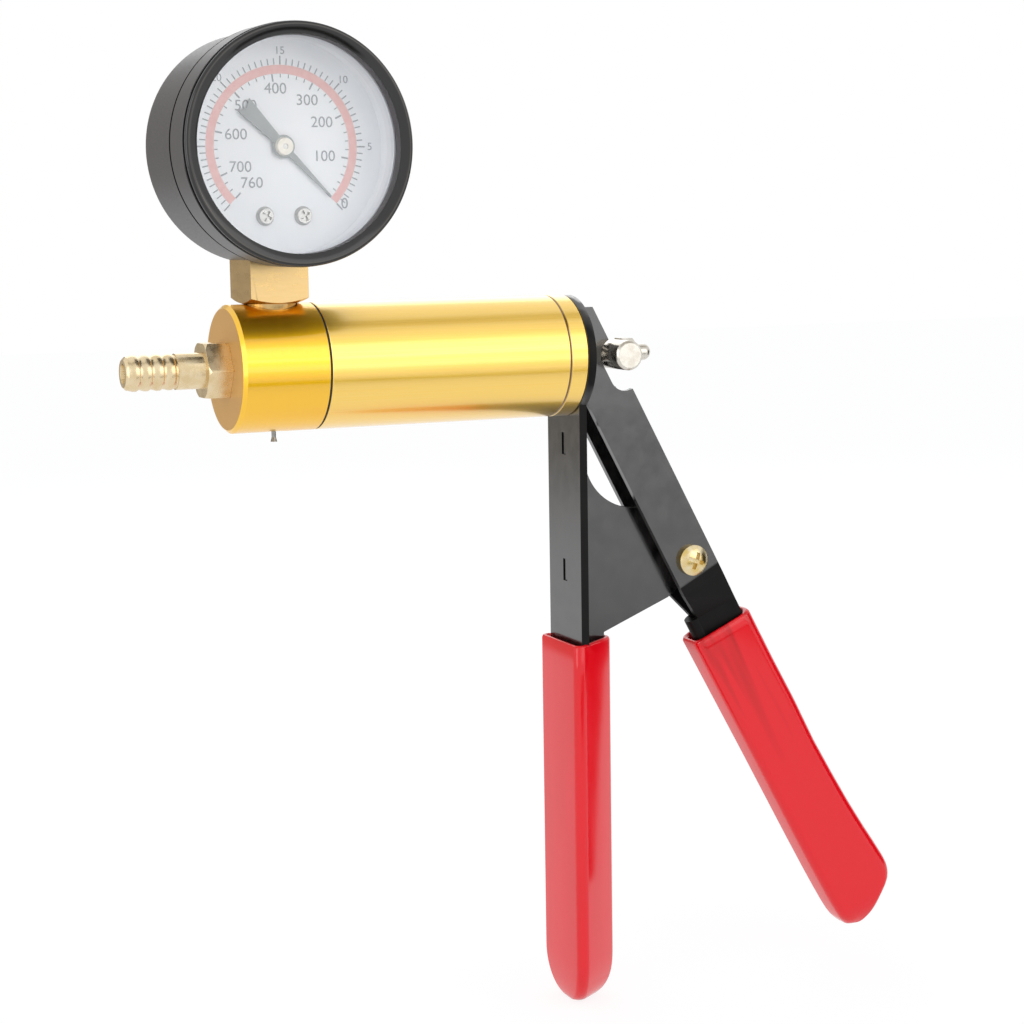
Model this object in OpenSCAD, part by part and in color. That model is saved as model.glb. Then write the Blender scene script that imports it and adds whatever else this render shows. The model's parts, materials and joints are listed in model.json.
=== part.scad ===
// Hand vacuum pump with gauge.
// The barrel lies along X with its hose nipple towards -X.
// The handles hang towards -Z and the gauge faces -Y.
// The origin is on the barrel's axis, at the nipple's shoulder, where a hose stops.

/* [Hose nipple] */
// Diameter of the nipple's shank and barbs
nipple_d = 8; // [7.6:0.1:8.4]
// Length from the shoulder to the tip
nipple_len = 17.6; // [17:0.2:22]
// Length of the smooth shank next to the shoulder
shank_len = 6; // [5:0.2:7]
// Bore through the nipple
nipple_bore = 4.4; // [3:0.1:4.8]
// Hexagon across its flats
nipple_hex = 12; // [11:0.5:13]
// Thickness of the hexagon
nipple_hex_len = 5.5; // [4:0.1:7]

/* [Barrel] */
// Outer diameter of the barrel
barrel_d = 28.6; // [27.6:0.2:31]
// Wall of the barrel tube
barrel_wall = 2; // [1.6:0.1:2.2]
// Length of the front cap
cap_len = 19.9; // [19:0.1:24]
// Distance of the gauge's port behind the cap's face
port_back = 10.9; // [10:0.1:12]
// Length of the barrel tube between the caps
tube_len = 58.4; // [57:0.2:72]
// Length of the gold ring that ends the barrel
rear_ring_len = 4.5; // [4:0.1:6]
// Thickness of the seal that shows as a black line
seal_t = 0.4; // [0.3:0.05:0.6]

/* [Pump inside] */
// Diameter of the piston rod
rod_d = 6; // [5.4:0.1:6.2]
// Angle that the lever turns through when it is squeezed
squeeze_angle = 24; // [18:1:24]
// Wire of the return spring
spring_wire = 1.5; // [1.2:0.1:1.5]
// Mean diameter of the return spring
spring_d = 16; // [15:0.5:17]

/* [Release valve] */
// Diameter of the pin's flared foot
release_foot_d = 1.5; // [1.3:0.1:1.9]
// How far the foot stands below the cap
release_drop = 2.3; // [2:0.1:3]
// How far the pin can be pushed in
release_travel = 1.2; // [0.8:0.1:1.3]

/* [Gauge] */
// Diameter of the gauge's front ring
bezel_d = 51.8; // [51:0.2:56]
// Depth of the gauge from back to front
gauge_depth = 30.2; // [29.6:0.2:32]
// Height of the gauge's centre above the barrel's axis
gauge_z = 48.4; // [48:0.2:52]
// Angle that the gauge is turned on its thread
gauge_turn = 2; // [-10:1:10]
// Square of the brass stem
stem_square = 13.5; // [13:0.1:14]
// Turned neck under the square
stem_neck_d = 11.7; // [11:0.1:12.4]

/* [Front handle] */
// Width of the flat bar
bar_w = 17.2; // [16:0.2:18]
// Thickness of the flat bar
bar_t = 2; // [1.8:0.1:2.4]
// Diameter of the bar's round head
bar_head_d = 28.4; // [28:0.2:30]
// Depth of the bar's lower end below the barrel's axis
bar_drop = 156; // [150:1:162]
// Thickness of the gusset plate
gusset_t = 2; // [1.6:0.1:2.2]

/* [Lever] */
// How far the pivot lies behind the barrel's end
pivot_back = 31.8; // [31:0.2:33]
// How far the pivot lies below the barrel's axis
pivot_drop = 50.9; // [50:0.2:52]
// Lean of the lever at rest
lever_lean = 28; // [27:0.5:28.5]
// Depth of the lever from front to back
lever_depth = 12; // [11.6:0.1:12.4]
// Width across the lever's two walls
lever_w = 10.6; // [10.2:0.1:11.2]
// Thickness of the lever's sheet
lever_t = 1.6; // [1.4:0.1:1.7]
// Length of the lever below the pivot
lever_tail = 100; // [94:1:104]
// Diameter of the cross bar that the lever pulls
cross_d = 7; // [6.6:0.1:7.2]
// Length of the cross bar
cross_len = 23.8; // [22:0.2:26]
// Distance of the cross bar behind the barrel's end
cross_back = 11.9; // [11.7:0.1:12.2]

/* [Grips] */
// Thickness of the vinyl sleeves
grip_wall = 1.4; // [1.2:0.1:1.6]
// Where the front sleeve starts, below the barrel's axis
front_grip_top = 68.5; // [68:0.5:74]
// Where the rear sleeve starts, below the pivot along the lever
rear_grip_top = 19.5; // [18:0.5:24]

/* [Hidden] */
$fn = 64;
// clearances: parts that slide or turn on one another, parts that are pushed together, and free gaps
run_gap = 0.05;
seat_gap = 0.02;
free_gap = 0.4;
cut = 1;

// stations along the barrel
cap_x = nipple_hex_len;
joint_x = cap_x + cap_len;
ring_x = joint_x + seal_t + tube_len;
seat_x = ring_x + rear_ring_len;
port_x = cap_x + port_back;
bar_back_x = seat_x + bar_t;
barrel_r = barrel_d / 2;
bore_r = barrel_r - barrel_wall;

// front cap: spigot, inlet passage and valve seat
spigot_len = 6;
spigot_r = bore_r - seat_gap;
valve_x = joint_x + seal_t + spigot_len;
thread_r = 4;
thread_len = 6;
valve_wall = 4;
valve_stem_r = 1;
valve_hole_r = 0.75;
valve_hole_ring = 2.5;
valve_r = 5;
valve_t = 1.2;
edge_chamfer = 0.8;
groove_chamfer = 0.35;
joint_chamfer = 0.15;

// hose nipple: barbs and chamfers
barbs = 4;
barb_height = 0.3;
barb_lead = 1;
tip_chamfer = 0.6;
hex_chamfer = 0.6;

// release valve, from the cap's underside upwards
body_r = 2.6;
body_sink = 0.4;
body_bottom = body_sink - barrel_r;
body_len = 7.5;
body_top = body_bottom + body_len;
pocket_r = 1.6;
pocket_deep = 4.9;
pocket_top = body_bottom + pocket_deep;
release_r = 0.5;
release_disc_r = 1.9;
release_disc_t = 0.9;
release_foot_t = 1;
collar_r = 1.3;
collar_t = 0.6;
collar_z = body_bottom + 0.7;
release_wire = 0.28;
release_coil_r = 1.05;

// gauge thread and stem
stem_seat_z = sqrt(barrel_r * barrel_r - stem_neck_d * stem_neck_d / 4);
stem_thread_r = 4.7;
stem_thread_len = 7;
stem_bore_r = 1.25;
neck_len = 1.4;

// gauge, measured from its axis and from the stem's plane towards the dial
gauge_back = 7.5;
gauge_front = gauge_depth - gauge_back;
bezel_r = bezel_d / 2;
case_r = bezel_r - 0.6;
case_wall = 1.1;
case_chamfer = 1.2;
bezel_start = 11.6;
lip_r = bezel_r - 2.9;
bead_t = 1.6;
bead_groove = 0.4;
lens_t = 1.8;
lens_r = bezel_r - 1.5;
lens_sink = 3.4;
lens_front = gauge_front - lens_sink;
dial_room = 8;
dial_z = lens_front - lens_t - dial_room;
dial_t = 0.5;
dial_r = lip_r + 0.5;
dial_rim = 0.3;
spigot_case_r = dial_r + case_wall + 0.2;
stem_top = gauge_z - case_r + 1.3;
screw_dx = 4.4;
screw_drop = 14.9;
screw_head_r = 2.1;
screw_head_t = 1.1;
screw_r = 1.2;
screw_len = 6;
post_r = 2;
case_floor = 1.4;
block_w = 13;
block_front = 2;
block_back = gauge_back - case_floor - 0.6;
block_low = stem_top - gauge_z + 2.4;
block_top = -12.2;
stem_shaft_r = 4.8;

// gauge works: a 12-tooth pinion on the pointer's arbor, turned by a sector
tooth_module = 0.25;
pinion_teeth = 12;
sector_teeth = 108;
pinion_r = tooth_module * pinion_teeth / 2;
sector_r = tooth_module * sector_teeth / 2;
tooth_depth = 0.2;
sector_dir = -45;
sector_at = (pinion_r + sector_r) * [cos(sector_dir), sin(sector_dir)];
sector_swing = 30;
arbor_r = 0.6;
gear_under = 4.8;
gear_z = dial_z - gear_under;
gear_t = 1.6;
plate_t = 1;
plate_zs = [gear_z - 2, gear_z + 3.6];
plate_r = 3.5;
block_neck = block_top + screw_drop + plate_r + free_gap;
plate_waist = 0.6;
pillar_out = 5;
pillar_at = pillar_out * [cos(135), sin(135)];
pillar_r = 1.2;
tail_r = 3;
tail_dir = -30;
tail_at = sector_at + tail_r * [cos(tail_dir), sin(tail_dir)];
link_pin_r = 0.5;
link_z = gear_z + gear_t + 0.15;
link_t = 0.6;
link_half_w = 1.2;
bourdon_r = 17;
bourdon_tip = 5;
bourdon_root = 250;
bourdon_half_t = 1;
bourdon_half_w = 2.5;
bourdon_skin = 0.4;
tip_at = bourdon_r * [cos(bourdon_tip + 3), sin(bourdon_tip + 3)];
hair_t = 0.5;
hair_z = plate_zs[1] - hair_t - free_gap;
hair_turns = 3.5;
hair_in = 1.15;
hair_out = 3.2;
hair_w = 0.14;
pointer_z = dial_z + dial_t + 0.6;
pointer_t = 0.4;
pointer_zero = -45;
pointer_tip = 15.2;
pointer_tail = 12.5;
hub_r = 2;
hub_t = 1.1;

// piston train, from the front at rest
train_x = valve_x + valve_t + 1.8;
piston_head_t = 2;
washer_t = 1;
washer_in = 4;
piston_recess = 4;
cup_base = 1.5;
cup_lip = 5;
cup_skin = 1.2;
piston_len = 6;
cup_x = train_x + piston_head_t + washer_t;
piston_x = cup_x + cup_base;
rod_x = piston_x + piston_len;
rod_r = rod_d / 2;
stud_r = 2;
stud_deep = 8;
rear_spigot_len = 6;
bush_r = rod_r + 1.2;
bush_len = 8;
spring_turns = 5.5;
head_screw_in = 2.3;
head_screw_ring = bore_r - head_screw_in;
head_screw_r = 1.5;
head_cone_r = 2.8;
head_cone_t = 1.3;
head_screw_len = 8;

// cross bar, rod end and nut
cross_x = seat_x + cross_back;
cross_r = cross_d / 2;
cross_flat = cross_r - 0.4;
cross_chamfer = 0.6;
nut_af = 7;
nut_t = 3.2;
rod_tip = 5.1;

// lever, in its own frame: x to the back, z up along it, from the pivot
pivot = [seat_x + pivot_back, 0, -pivot_drop];
wall_in = lever_w / 2 - lever_t;
wall_out = lever_w / 2;
half_depth = lever_depth / 2;
ear_gap = 1.3;
ear_top = 11.4;
ear_reach = 72;
notch_spare = 1.4;
pin_dx = cross_back - pivot_back;
pin_reach = norm([pin_dx, pivot_drop]);
pin_angle = atan2(-pin_dx, pivot_drop);
notch_up = pin_reach * cos(lever_lean - pin_angle);
notch_back = pin_reach * sin(lever_lean - pin_angle);
notch_run = notch_up - pin_height(squeeze_angle) + notch_spare;
// the bar moves evenly with the lever, so the straight notch is wider by the bow of the bar's path in it
mid_turn = squeeze_angle / 2;
notch_bow = (pin_travel(mid_turn) - piston_stroke() / 2) * cos(lever_lean - mid_turn) / 2;
notch_r = cross_r + free_gap + notch_bow;
bend_from = 7;
bend_to = 15;
fold_r = 2.4;
fold_in = fold_r - lever_t;
// pinching the channel shut pushes its fold forwards
nose_out = 0.7;
nose_x = fold_r - half_depth - nose_out;
back_out = 5;
screw_shank_r = 2;
screw_pan_r = 3.75;
screw_pan_t = 2.6;
screw_pan_round = 5.6;
recess_w = 1;
recess_len = 4.2;
recess_deep = 1.3;
spacer_r = 3.5;

// gusset plate, measured from the barrel's end: x to the back, z up
gusset_top = -18.5;
gusset_strip = 3.2;
gusset_cut_at = [18.5, -24];
gusset_cut_r = 13.5;
gusset_eye_r = 5.2;
corner_front = 4.3;
corner_low = 9.5;
gusset_corner = [pivot_back - corner_front, -pivot_drop - corner_low];
gusset_heel = 8;
gusset_foot = [9.8, -67.5];
gusset_end = -84;
tab_len = 5.2;
tab_zs = [-21, -51.5];
tab_sink = 0.3;

// grips
front_pad = 0.8;
front_corner_r = 1.8;
front_apex_r = 3;
front_apex_x = 8;
rear_front = half_depth + nose_out + grip_wall + 0.2;
rear_front_half = fold_r + grip_wall + 0.8;
rear_back = half_depth + grip_wall + 0.8;
rear_back_half = back_out + grip_wall - 0.2;
rear_flare = 3.6;
rear_past = 10.4;
sleeve_sides = 48;

gold = "#d9b53a";
brass = "#c9a25a";
black = "#232326";
red = "#d8232f";
steel = "#b9bbbd";
rubber = "#1c1c1c";

echo(stroke = piston_stroke(), notch_bow = notch_bow);
echo(drive_ratio_m_per_rad = piston_stroke() / 1000 / (squeeze_angle * PI / 180));
echo(pivot = pivot, port_x = port_x, cross_x = cross_x, seat_x = seat_x);

// Travel of the cross bar along the barrel when the lever turns by an angle
function pin_travel(turn) =
  (notch_back - pivot_drop * sin(lever_lean - turn)) / cos(lever_lean - turn) - pin_dx;

// Height of the cross bar above the pivot, along the lever
function pin_height(turn) =
  (pivot_drop - notch_back * sin(lever_lean - turn)) / cos(lever_lean - turn);

// Travel for the lever's whole angle
function piston_stroke() = pin_travel(squeeze_angle);

// A cylinder along X
module along_x(x0, length, r) {
  translate([x0, 0, 0]) rotate([0, 90, 0]) cylinder(h = length, r = r);
}

// A cone along X
module cone_x(x0, length, r0, r1) {
  translate([x0, 0, 0]) rotate([0, 90, 0]) cylinder(h = length, r1 = r0, r2 = r1);
}

// A cylinder along Y
module along_y(x, z, y0, length, r) {
  translate([x, y0 + length, z]) rotate([90, 0, 0]) cylinder(h = length, r = r);
}

// A flat outline in X and Z, given a thickness along Y
module side_plate(y0, thick) {
  translate([0, y0 + thick, 0]) rotate([90, 0, 0]) linear_extrude(thick) children();
}

// A round bar along Z, turned with a chamfer at each end
module turned_bar(length, r, low, high) {
  rotate_extrude() polygon([
    [0, 0], [r - low, 0], [r, low], [r, length - high], [r - high, length], [0, length]
  ]);
}

// The same bar along X
module chamfered_x(x0, length, r, front, rear) {
  translate([x0, 0, 0]) rotate([0, 90, 0]) turned_bar(length, r, front, rear);
}

// Hexagonal prism along its own Z, sized across the flats
module hex(af, thick) {
  cylinder(h = thick, r = af / 2 / cos(30), $fn = 6);
}

// Cross recess, cut downwards from z = 0
module cross_recess(len, w, deep) {
  for (turn = [0, 90]) {
    rotate(turn) translate([-len / 2, -w / 2, -deep]) cube([len, w, deep + cut]);
  }
}

// Closed skin over rings of points, each ring with the same number of points
module skin(points, sides) {
  count = len(points) / sides - 1;
  around = [
    for (i = [0:count - 1])
    for (j = [0:sides - 1])
    let (a = i * sides + j, b = i * sides + (j + 1) % sides)
    for (face = [[a, b, a + sides], [b, b + sides, a + sides]]) face
  ];
  first = [for (j = [sides - 1:-1:0]) j];
  last = [for (j = [0:sides - 1]) count * sides + j];
  polyhedron(points, concat(around, [first, last]), convexity = 10);
}

// Round wire wound into a coil along Z
module coil(mean_r, wire_r, length, turns, steps, sides) {
  count = ceil(turns * steps);
  rise = (length - 2 * wire_r) / (2 * PI * turns);
  slope = norm([mean_r, rise]);
  skin([
    for (i = [0:count])
    let (a = 360 * turns * i / count, z = wire_r + (length - 2 * wire_r) * i / count)
    for (j = [0:sides - 1])
    let (b = 360 * j / sides, out = wire_r * cos(b), up = wire_r * sin(b))
    [
      (mean_r + out) * cos(a) + up * rise / slope * sin(a),
      (mean_r + out) * sin(a) - up * rise / slope * cos(a),
      z + up * mean_r / slope
    ]
  ], sides);
}

// Straight bar between two points of a flat outline, with square ends
module flat_bar(a, b, half_w) {
  run = b - a;
  translate(a) rotate(atan2(run.y, run.x)) translate([0, -half_w]) square([norm(run), 2 * half_w]);
}

// Straight bar between two points of a flat outline, with round ends
module strap(a, b, r) {
  translate(a) circle(r);
  translate(b) circle(r);
  flat_bar(a, b, r);
}

module hose_nipple() {
  nipple_r = nipple_d / 2;
  waist_r = nipple_r - barb_height;
  pitch = (nipple_len - shank_len - barb_lead) / barbs;
  color(brass) difference() {
    union() {
      rotate([0, 90, 0]) rotate_extrude() polygon(concat(
        [[0, -nipple_len], [waist_r - tip_chamfer, -nipple_len], [waist_r, tip_chamfer - nipple_len]],
        [for (i = [barbs:-1:1])
          let (base = -shank_len - pitch * i)
          each [
            [waist_r, base], [nipple_r, base + 0.35 * pitch],
            [nipple_r, base + 0.65 * pitch], [waist_r, base + 0.85 * pitch]
          ]],
        [[waist_r, -shank_len], [nipple_r, -shank_len], [nipple_r, nipple_hex_len / 2]],
        [[thread_r - seat_gap, nipple_hex_len / 2], [thread_r - seat_gap, nipple_hex_len + thread_len]],
        [[0, nipple_hex_len + thread_len]]
      ));
      intersection() {
        rotate([90, 0, 90]) hex(nipple_hex, nipple_hex_len);
        chamfered_x(0, nipple_hex_len, nipple_hex / 2 / cos(30), hex_chamfer, joint_chamfer);
      }
    }
    along_x(-nipple_len - cut, nipple_len + nipple_hex_len + thread_len + 2 * cut, nipple_bore / 2);
  }
}

module front_cap() {
  color(gold) difference() {
    union() {
      chamfered_x(cap_x, cap_len, barrel_r, edge_chamfer, joint_chamfer);
      along_x(joint_x - 0.1, valve_x - joint_x + 0.1, spigot_r);
    }
    along_x(cap_x - cut, valve_x - valve_wall - cap_x + cut, thread_r);
    along_x(valve_x - valve_wall - cut, valve_wall + 2 * cut, valve_stem_r + seat_gap);
    for (turn = [45:90:359]) {
      rotate([turn, 0, 0]) translate([0, 0, valve_hole_ring])
        along_x(valve_x - valve_wall - cut, valve_wall + 2 * cut, valve_hole_r);
    }
    translate([port_x, 0, 0]) {
      cylinder(h = barrel_r + cut, r = stem_thread_r + seat_gap);
      translate([0, 0, stem_seat_z]) cylinder(h = barrel_r, r = stem_neck_d / 2 + 0.1);
      translate([0, 0, -barrel_r - cut]) cylinder(h = barrel_r + cut, r = body_r + seat_gap);
    }
  }
}

module cap_seal() {
  color(rubber) difference() {
    along_x(joint_x, seal_t, barrel_r - 0.1);
    along_x(joint_x - cut, seal_t + 2 * cut, bore_r);
  }
}

module barrel_tube() {
  color(gold) difference() {
    chamfered_x(joint_x + seal_t, tube_len, barrel_r, joint_chamfer, groove_chamfer);
    along_x(joint_x, tube_len + 2 * cut, bore_r);
  }
}

module rear_cap() {
  color(gold) difference() {
    union() {
      chamfered_x(ring_x, rear_ring_len, barrel_r, groove_chamfer, groove_chamfer);
      along_x(ring_x - rear_spigot_len, rear_spigot_len + 0.1, spigot_r);
    }
    along_x(ring_x - rear_spigot_len - cut, rear_spigot_len + rear_ring_len + 2 * cut, bush_r + seat_gap);
    for (side = [-1, 1]) {
      translate([0, side * head_screw_ring, 0])
        along_x(seat_x - head_screw_len + bar_t - 0.5, head_screw_len, head_screw_r + seat_gap);
    }
  }
}

module rod_bush() {
  color("#d8d4c8") difference() {
    along_x(seat_x - bush_len, bush_len, bush_r);
    along_x(seat_x - bush_len - cut, bush_len + 2 * cut, rod_r + run_gap);
  }
}

module inlet_valve() {
  color(rubber) {
    cone_x(valve_x, valve_t, valve_r, valve_r - 1.6);
    along_x(valve_x - valve_wall - 1.2, valve_wall + 1.3, valve_stem_r);
    cone_x(valve_x - valve_wall - 1.6, 1.4, valve_stem_r - 0.2, valve_stem_r + 0.5);
  }
}

module release_body() {
  color(brass) translate([port_x, 0, 0]) difference() {
    translate([0, 0, body_bottom]) cylinder(h = body_top - body_bottom, r = body_r);
    translate([0, 0, body_bottom - cut]) cylinder(h = pocket_top - body_bottom + cut, r = pocket_r);
    translate([0, 0, pocket_top - cut]) cylinder(h = body_top - pocket_top + 2 * cut, r = release_r + 0.12);
  }
}

module release_pin() {
  foot_z = -barrel_r - release_drop;
  seat_z = body_top + run_gap;
  color(brass) translate([port_x, 0, 0]) {
    translate([0, 0, foot_z]) cylinder(h = seat_z - foot_z, r = release_r);
    translate([0, 0, foot_z]) cylinder(h = release_foot_t, r1 = release_foot_d / 2, r2 = release_r);
    translate([0, 0, collar_z]) cylinder(h = collar_t, r = collar_r);
    translate([0, 0, seat_z - 0.01]) cylinder(h = release_disc_t, r = release_disc_r);
  }
}

module release_spring() {
  low = collar_z + collar_t + run_gap;
  color(steel) translate([port_x, 0, low])
    coil(release_coil_r, release_wire / 2, pocket_top - run_gap - low, 5, 16, 6);
}

module piston() {
  color("#8d8f92") difference() {
    union() {
      along_x(piston_x, piston_len - 1.2, bore_r - cup_skin - 0.4);
      along_x(piston_x + piston_len - 1.3, 1.3, bore_r - cup_skin - 0.9);
    }
    along_x(piston_x - cut, piston_len + 2 * cut, stud_r + seat_gap);
  }
}

module piston_cup() {
  lip_r = bore_r - run_gap;
  color(rubber) difference() {
    union() {
      chamfered_x(cup_x, cup_base, lip_r, 0.6, 0.05);
      along_x(cup_x + cup_base - 0.1, cup_lip - cup_base + 0.1, lip_r);
    }
    along_x(cup_x + cup_base, cup_lip, lip_r - cup_skin);
    along_x(cup_x - cut, cup_base + 2 * cut, stud_r + seat_gap);
  }
}

module piston_washer() {
  color(steel) difference() {
    along_x(cup_x - washer_t, washer_t, bore_r - washer_in);
    along_x(cup_x - washer_t - cut, washer_t + 2 * cut, stud_r + seat_gap);
  }
}

module piston_screw() {
  color(steel) difference() {
    union() {
      chamfered_x(train_x, piston_head_t, 3.6, 0.8, 0.01);
      along_x(train_x + piston_head_t - 0.1, rod_x + stud_deep - 1 - train_x - piston_head_t, stud_r);
    }
    translate([train_x, 0, 0]) rotate([0, -90, 0]) cross_recess(piston_recess, 0.9, 1.2);
  }
}

module piston_rod() {
  end_x = cross_x - cross_flat;
  tip_x = cross_x + cross_flat + nut_t + rod_tip;
  color(steel) difference() {
    union() {
      along_x(rod_x, end_x - rod_x, rod_r);
      along_x(end_x - 0.1, tip_x - stud_r - end_x + 0.1, stud_r);
      translate([tip_x - stud_r, 0, 0]) sphere(stud_r);
    }
    along_x(rod_x - cut, stud_deep + cut, stud_r + seat_gap);
  }
}

module return_spring() {
  color(steel) translate([rod_x + run_gap, 0, 0]) rotate([0, 90, 0])
    coil(spring_d / 2, spring_wire / 2, ring_x - rear_spigot_len - rod_x - 2 * run_gap, spring_turns, 28, 8);
}

module cross_pin() {
  color("#cfcdc9") difference() {
    translate([cross_x, -cross_len / 2, 0]) rotate([-90, 0, 0])
      turned_bar(cross_len, cross_r, cross_chamfer, cross_chamfer);
    along_x(cross_x - cross_d, 2 * cross_d, stud_r + seat_gap);
    for (side = [0, 1]) {
      translate([cross_x, 0, 0]) rotate([0, 180 * side, 0])
        along_x(cross_flat, cross_d, rod_r + 1.2);
    }
  }
}

module rod_nut() {
  color("#cfcdc9") difference() {
    intersection() {
      translate([cross_x + cross_flat, 0, 0]) rotate([90, 0, 90]) hex(nut_af, nut_t);
      chamfered_x(cross_x + cross_flat, nut_t, nut_af / 2 / cos(30), 0.02, 0.5);
    }
    along_x(cross_x, 4 * nut_t, stud_r + seat_gap);
  }
}

module handle_bar() {
  color(black) difference() {
    union() {
      along_x(seat_x, bar_t, bar_head_d / 2);
      translate([seat_x, -bar_w / 2, bar_w / 2 - bar_drop]) cube([bar_t, bar_w, bar_drop - bar_w / 2]);
      translate([0, 0, bar_w / 2 - bar_drop]) along_x(seat_x, bar_t, bar_w / 2);
    }
    along_x(seat_x - cut, bar_t + 2 * cut, bush_r + 0.3);
    for (side = [-1, 1]) {
      translate([0, side * head_screw_ring, 0]) {
        along_x(seat_x - cut, bar_t + 2 * cut, head_screw_r + 0.1);
        cone_x(bar_back_x - head_cone_t - 0.1, head_cone_t + 0.1, head_screw_r, head_cone_r + 0.1);
      }
    }
    for (z = tab_zs) {
      translate([seat_x - cut, -gusset_t / 2 - seat_gap, z - tab_len / 2 - seat_gap])
        cube([bar_t + 2 * cut, gusset_t + 2 * seat_gap, tab_len + 2 * seat_gap]);
    }
  }
}

module handle_screws() {
  color(steel) for (side = [-1, 1]) {
    translate([0, side * head_screw_ring, 0]) difference() {
      union() {
        along_x(bar_back_x - head_screw_len, head_screw_len - head_cone_t, head_screw_r);
        cone_x(bar_back_x - head_cone_t - 0.01, head_cone_t, head_screw_r, head_cone_r);
      }
      translate([bar_back_x, 0, 0]) rotate([0, 90, 0]) cross_recess(3, 0.8, 0.8);
    }
  }
}

module gusset_plate() {
  eye = [pivot_back, -pivot_drop];
  color(black) difference() {
    union() {
      translate([seat_x, 0, 0]) side_plate(-gusset_t / 2, gusset_t) difference() {
        union() {
          polygon([
            [bar_t, gusset_top], [bar_t + gusset_strip, gusset_top],
            [gusset_cut_at.x, gusset_cut_at.y - 0.9 * gusset_cut_r],
            eye + gusset_eye_r * [cos(70), sin(70)], eye + gusset_eye_r * [cos(-60), sin(-60)],
            gusset_corner, gusset_foot, [gusset_foot.x, gusset_foot.y - gusset_heel], [bar_t, gusset_end]
          ]);
          translate(eye) circle(gusset_eye_r);
        }
        translate(gusset_cut_at) circle(gusset_cut_r);
      }
      for (z = tab_zs) {
        translate([seat_x + tab_sink, -gusset_t / 2, z - tab_len / 2]) cube([bar_t, gusset_t, tab_len]);
      }
    }
    along_y(pivot.x, pivot.z, -gusset_t, 2 * gusset_t, screw_shank_r + run_gap);
  }
}

// Places what is drawn in the lever's own frame
module in_lever() {
  translate(pivot) rotate([0, -lever_lean, 0]) children();
}

// Section of one wall in the closed tail: x to the back, y outwards
module tail_wall() {
  polygon([
    [nose_x, fold_in], [half_depth, back_out - lever_t],
    [half_depth, back_out], [nose_x, fold_r]
  ]);
}

module lever() {
  slice = 0.02;
  color(black) difference() {
    in_lever() difference() {
      union() {
        for (side = [0, 1]) {
          mirror([0, side, 0]) {
            translate([-half_depth, wall_in, -bend_from]) cube([lever_depth, lever_t, ear_reach + bend_from]);
            hull() {
              translate([-half_depth, wall_in, -bend_from]) cube([lever_depth, lever_t, slice]);
              translate([0, 0, -bend_to]) linear_extrude(slice) tail_wall();
            }
            translate([0, 0, -lever_tail]) linear_extrude(lever_tail - bend_to + slice) tail_wall();
          }
        }
        translate([0, 0, -lever_tail]) linear_extrude(lever_tail - bend_to) difference() {
          translate([nose_x, 0]) circle(fold_r);
          translate([nose_x, 0]) circle(fold_in);
          translate([nose_x + 0.01, -lever_w]) square(2 * lever_w);
        }
      }
      for (z = [notch_up, notch_up - notch_run]) {
        along_y(notch_back - notch_bow, z, -lever_w, 2 * lever_w, notch_r);
      }
      translate([notch_back - notch_bow - notch_r, -lever_w, notch_up - notch_run])
        cube([2 * notch_r, 2 * lever_w, notch_run]);
      along_y(0, 0, -lever_w, 2 * lever_w, screw_shank_r + seat_gap);
    }
    translate([seat_x - ear_reach, -lever_w, -pivot_drop])
      cube([ear_reach + bar_t + ear_gap, 2 * lever_w, 2 * ear_reach]);
    translate([seat_x - ear_reach, -lever_w, ear_top]) cube([2 * ear_reach, 2 * lever_w, ear_reach]);
  }
}

module pivot_screw() {
  color("#d8b45c") difference() {
    union() {
      along_y(pivot.x, pivot.z, -wall_out - 0.1, lever_w + 0.1 + nut_t + 0.8, screw_shank_r);
      translate([pivot.x, -wall_out, pivot.z]) rotate([90, 0, 0]) rotate_extrude() intersection() {
        translate([0, screw_pan_t - screw_pan_round]) circle(screw_pan_round);
        square([screw_pan_r, screw_pan_t]);
      }
    }
    translate([pivot.x, -wall_out - screw_pan_t, pivot.z]) rotate([90, 20, 0])
      cross_recess(recess_len, recess_w, recess_deep);
  }
}

module pivot_spacers() {
  inner = gusset_t / 2 + 0.1;
  color("#d8d4c8") for (side = [0, 1]) {
    mirror([0, side, 0]) difference() {
      along_y(pivot.x, pivot.z, inner, wall_in - inner, spacer_r);
      along_y(pivot.x, pivot.z, 0, lever_w, screw_shank_r + seat_gap);
    }
  }
}

module pivot_nut() {
  color("#d8b45c") difference() {
    translate([pivot.x, wall_out, pivot.z]) rotate([-90, lever_lean, 0]) hex(nut_af, nut_t);
    along_y(pivot.x, pivot.z, 0, 4 * lever_w, screw_shank_r + seat_gap);
  }
}

module front_grip() {
  half = bar_w / 2 + grip_wall - front_corner_r;
  face_x = seat_x - grip_wall - front_pad + front_corner_r;
  end_z = -bar_drop + bar_w / 2;
  rim = 0.02;
  color(red) difference() {
    hull() {
      for (side = [-1, 1]) {
        translate([face_x, side * half, -front_grip_top - rim]) cylinder(h = rim, r = front_corner_r, $fn = 32);
      }
      translate([seat_x + front_apex_x, 0, -front_grip_top - rim]) cylinder(h = rim, r = front_apex_r, $fn = 32);
      for (turn = [180:30:360]) {
        translate([face_x, half * cos(turn), end_z + half * sin(turn) - 1]) sphere(front_corner_r, $fn = 24);
      }
      translate([seat_x + front_apex_x - 1, 0, end_z - 4]) sphere(front_apex_r, $fn = 24);
    }
    translate([seat_x - seat_gap, -bar_w / 2 - seat_gap, bar_w / 2 - bar_drop])
      cube([bar_t + 2 * seat_gap, bar_w + 2 * seat_gap, bar_drop]);
    translate([0, 0, bar_w / 2 - bar_drop])
      along_x(seat_x - seat_gap, bar_t + 2 * seat_gap, bar_w / 2 + seat_gap);
    translate([seat_x + bar_t, -gusset_t / 2 - seat_gap, gusset_end - 1])
      cube([gusset_foot.x - bar_t + seat_gap, gusset_t + 2 * seat_gap, -gusset_end]);
  }
}

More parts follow.
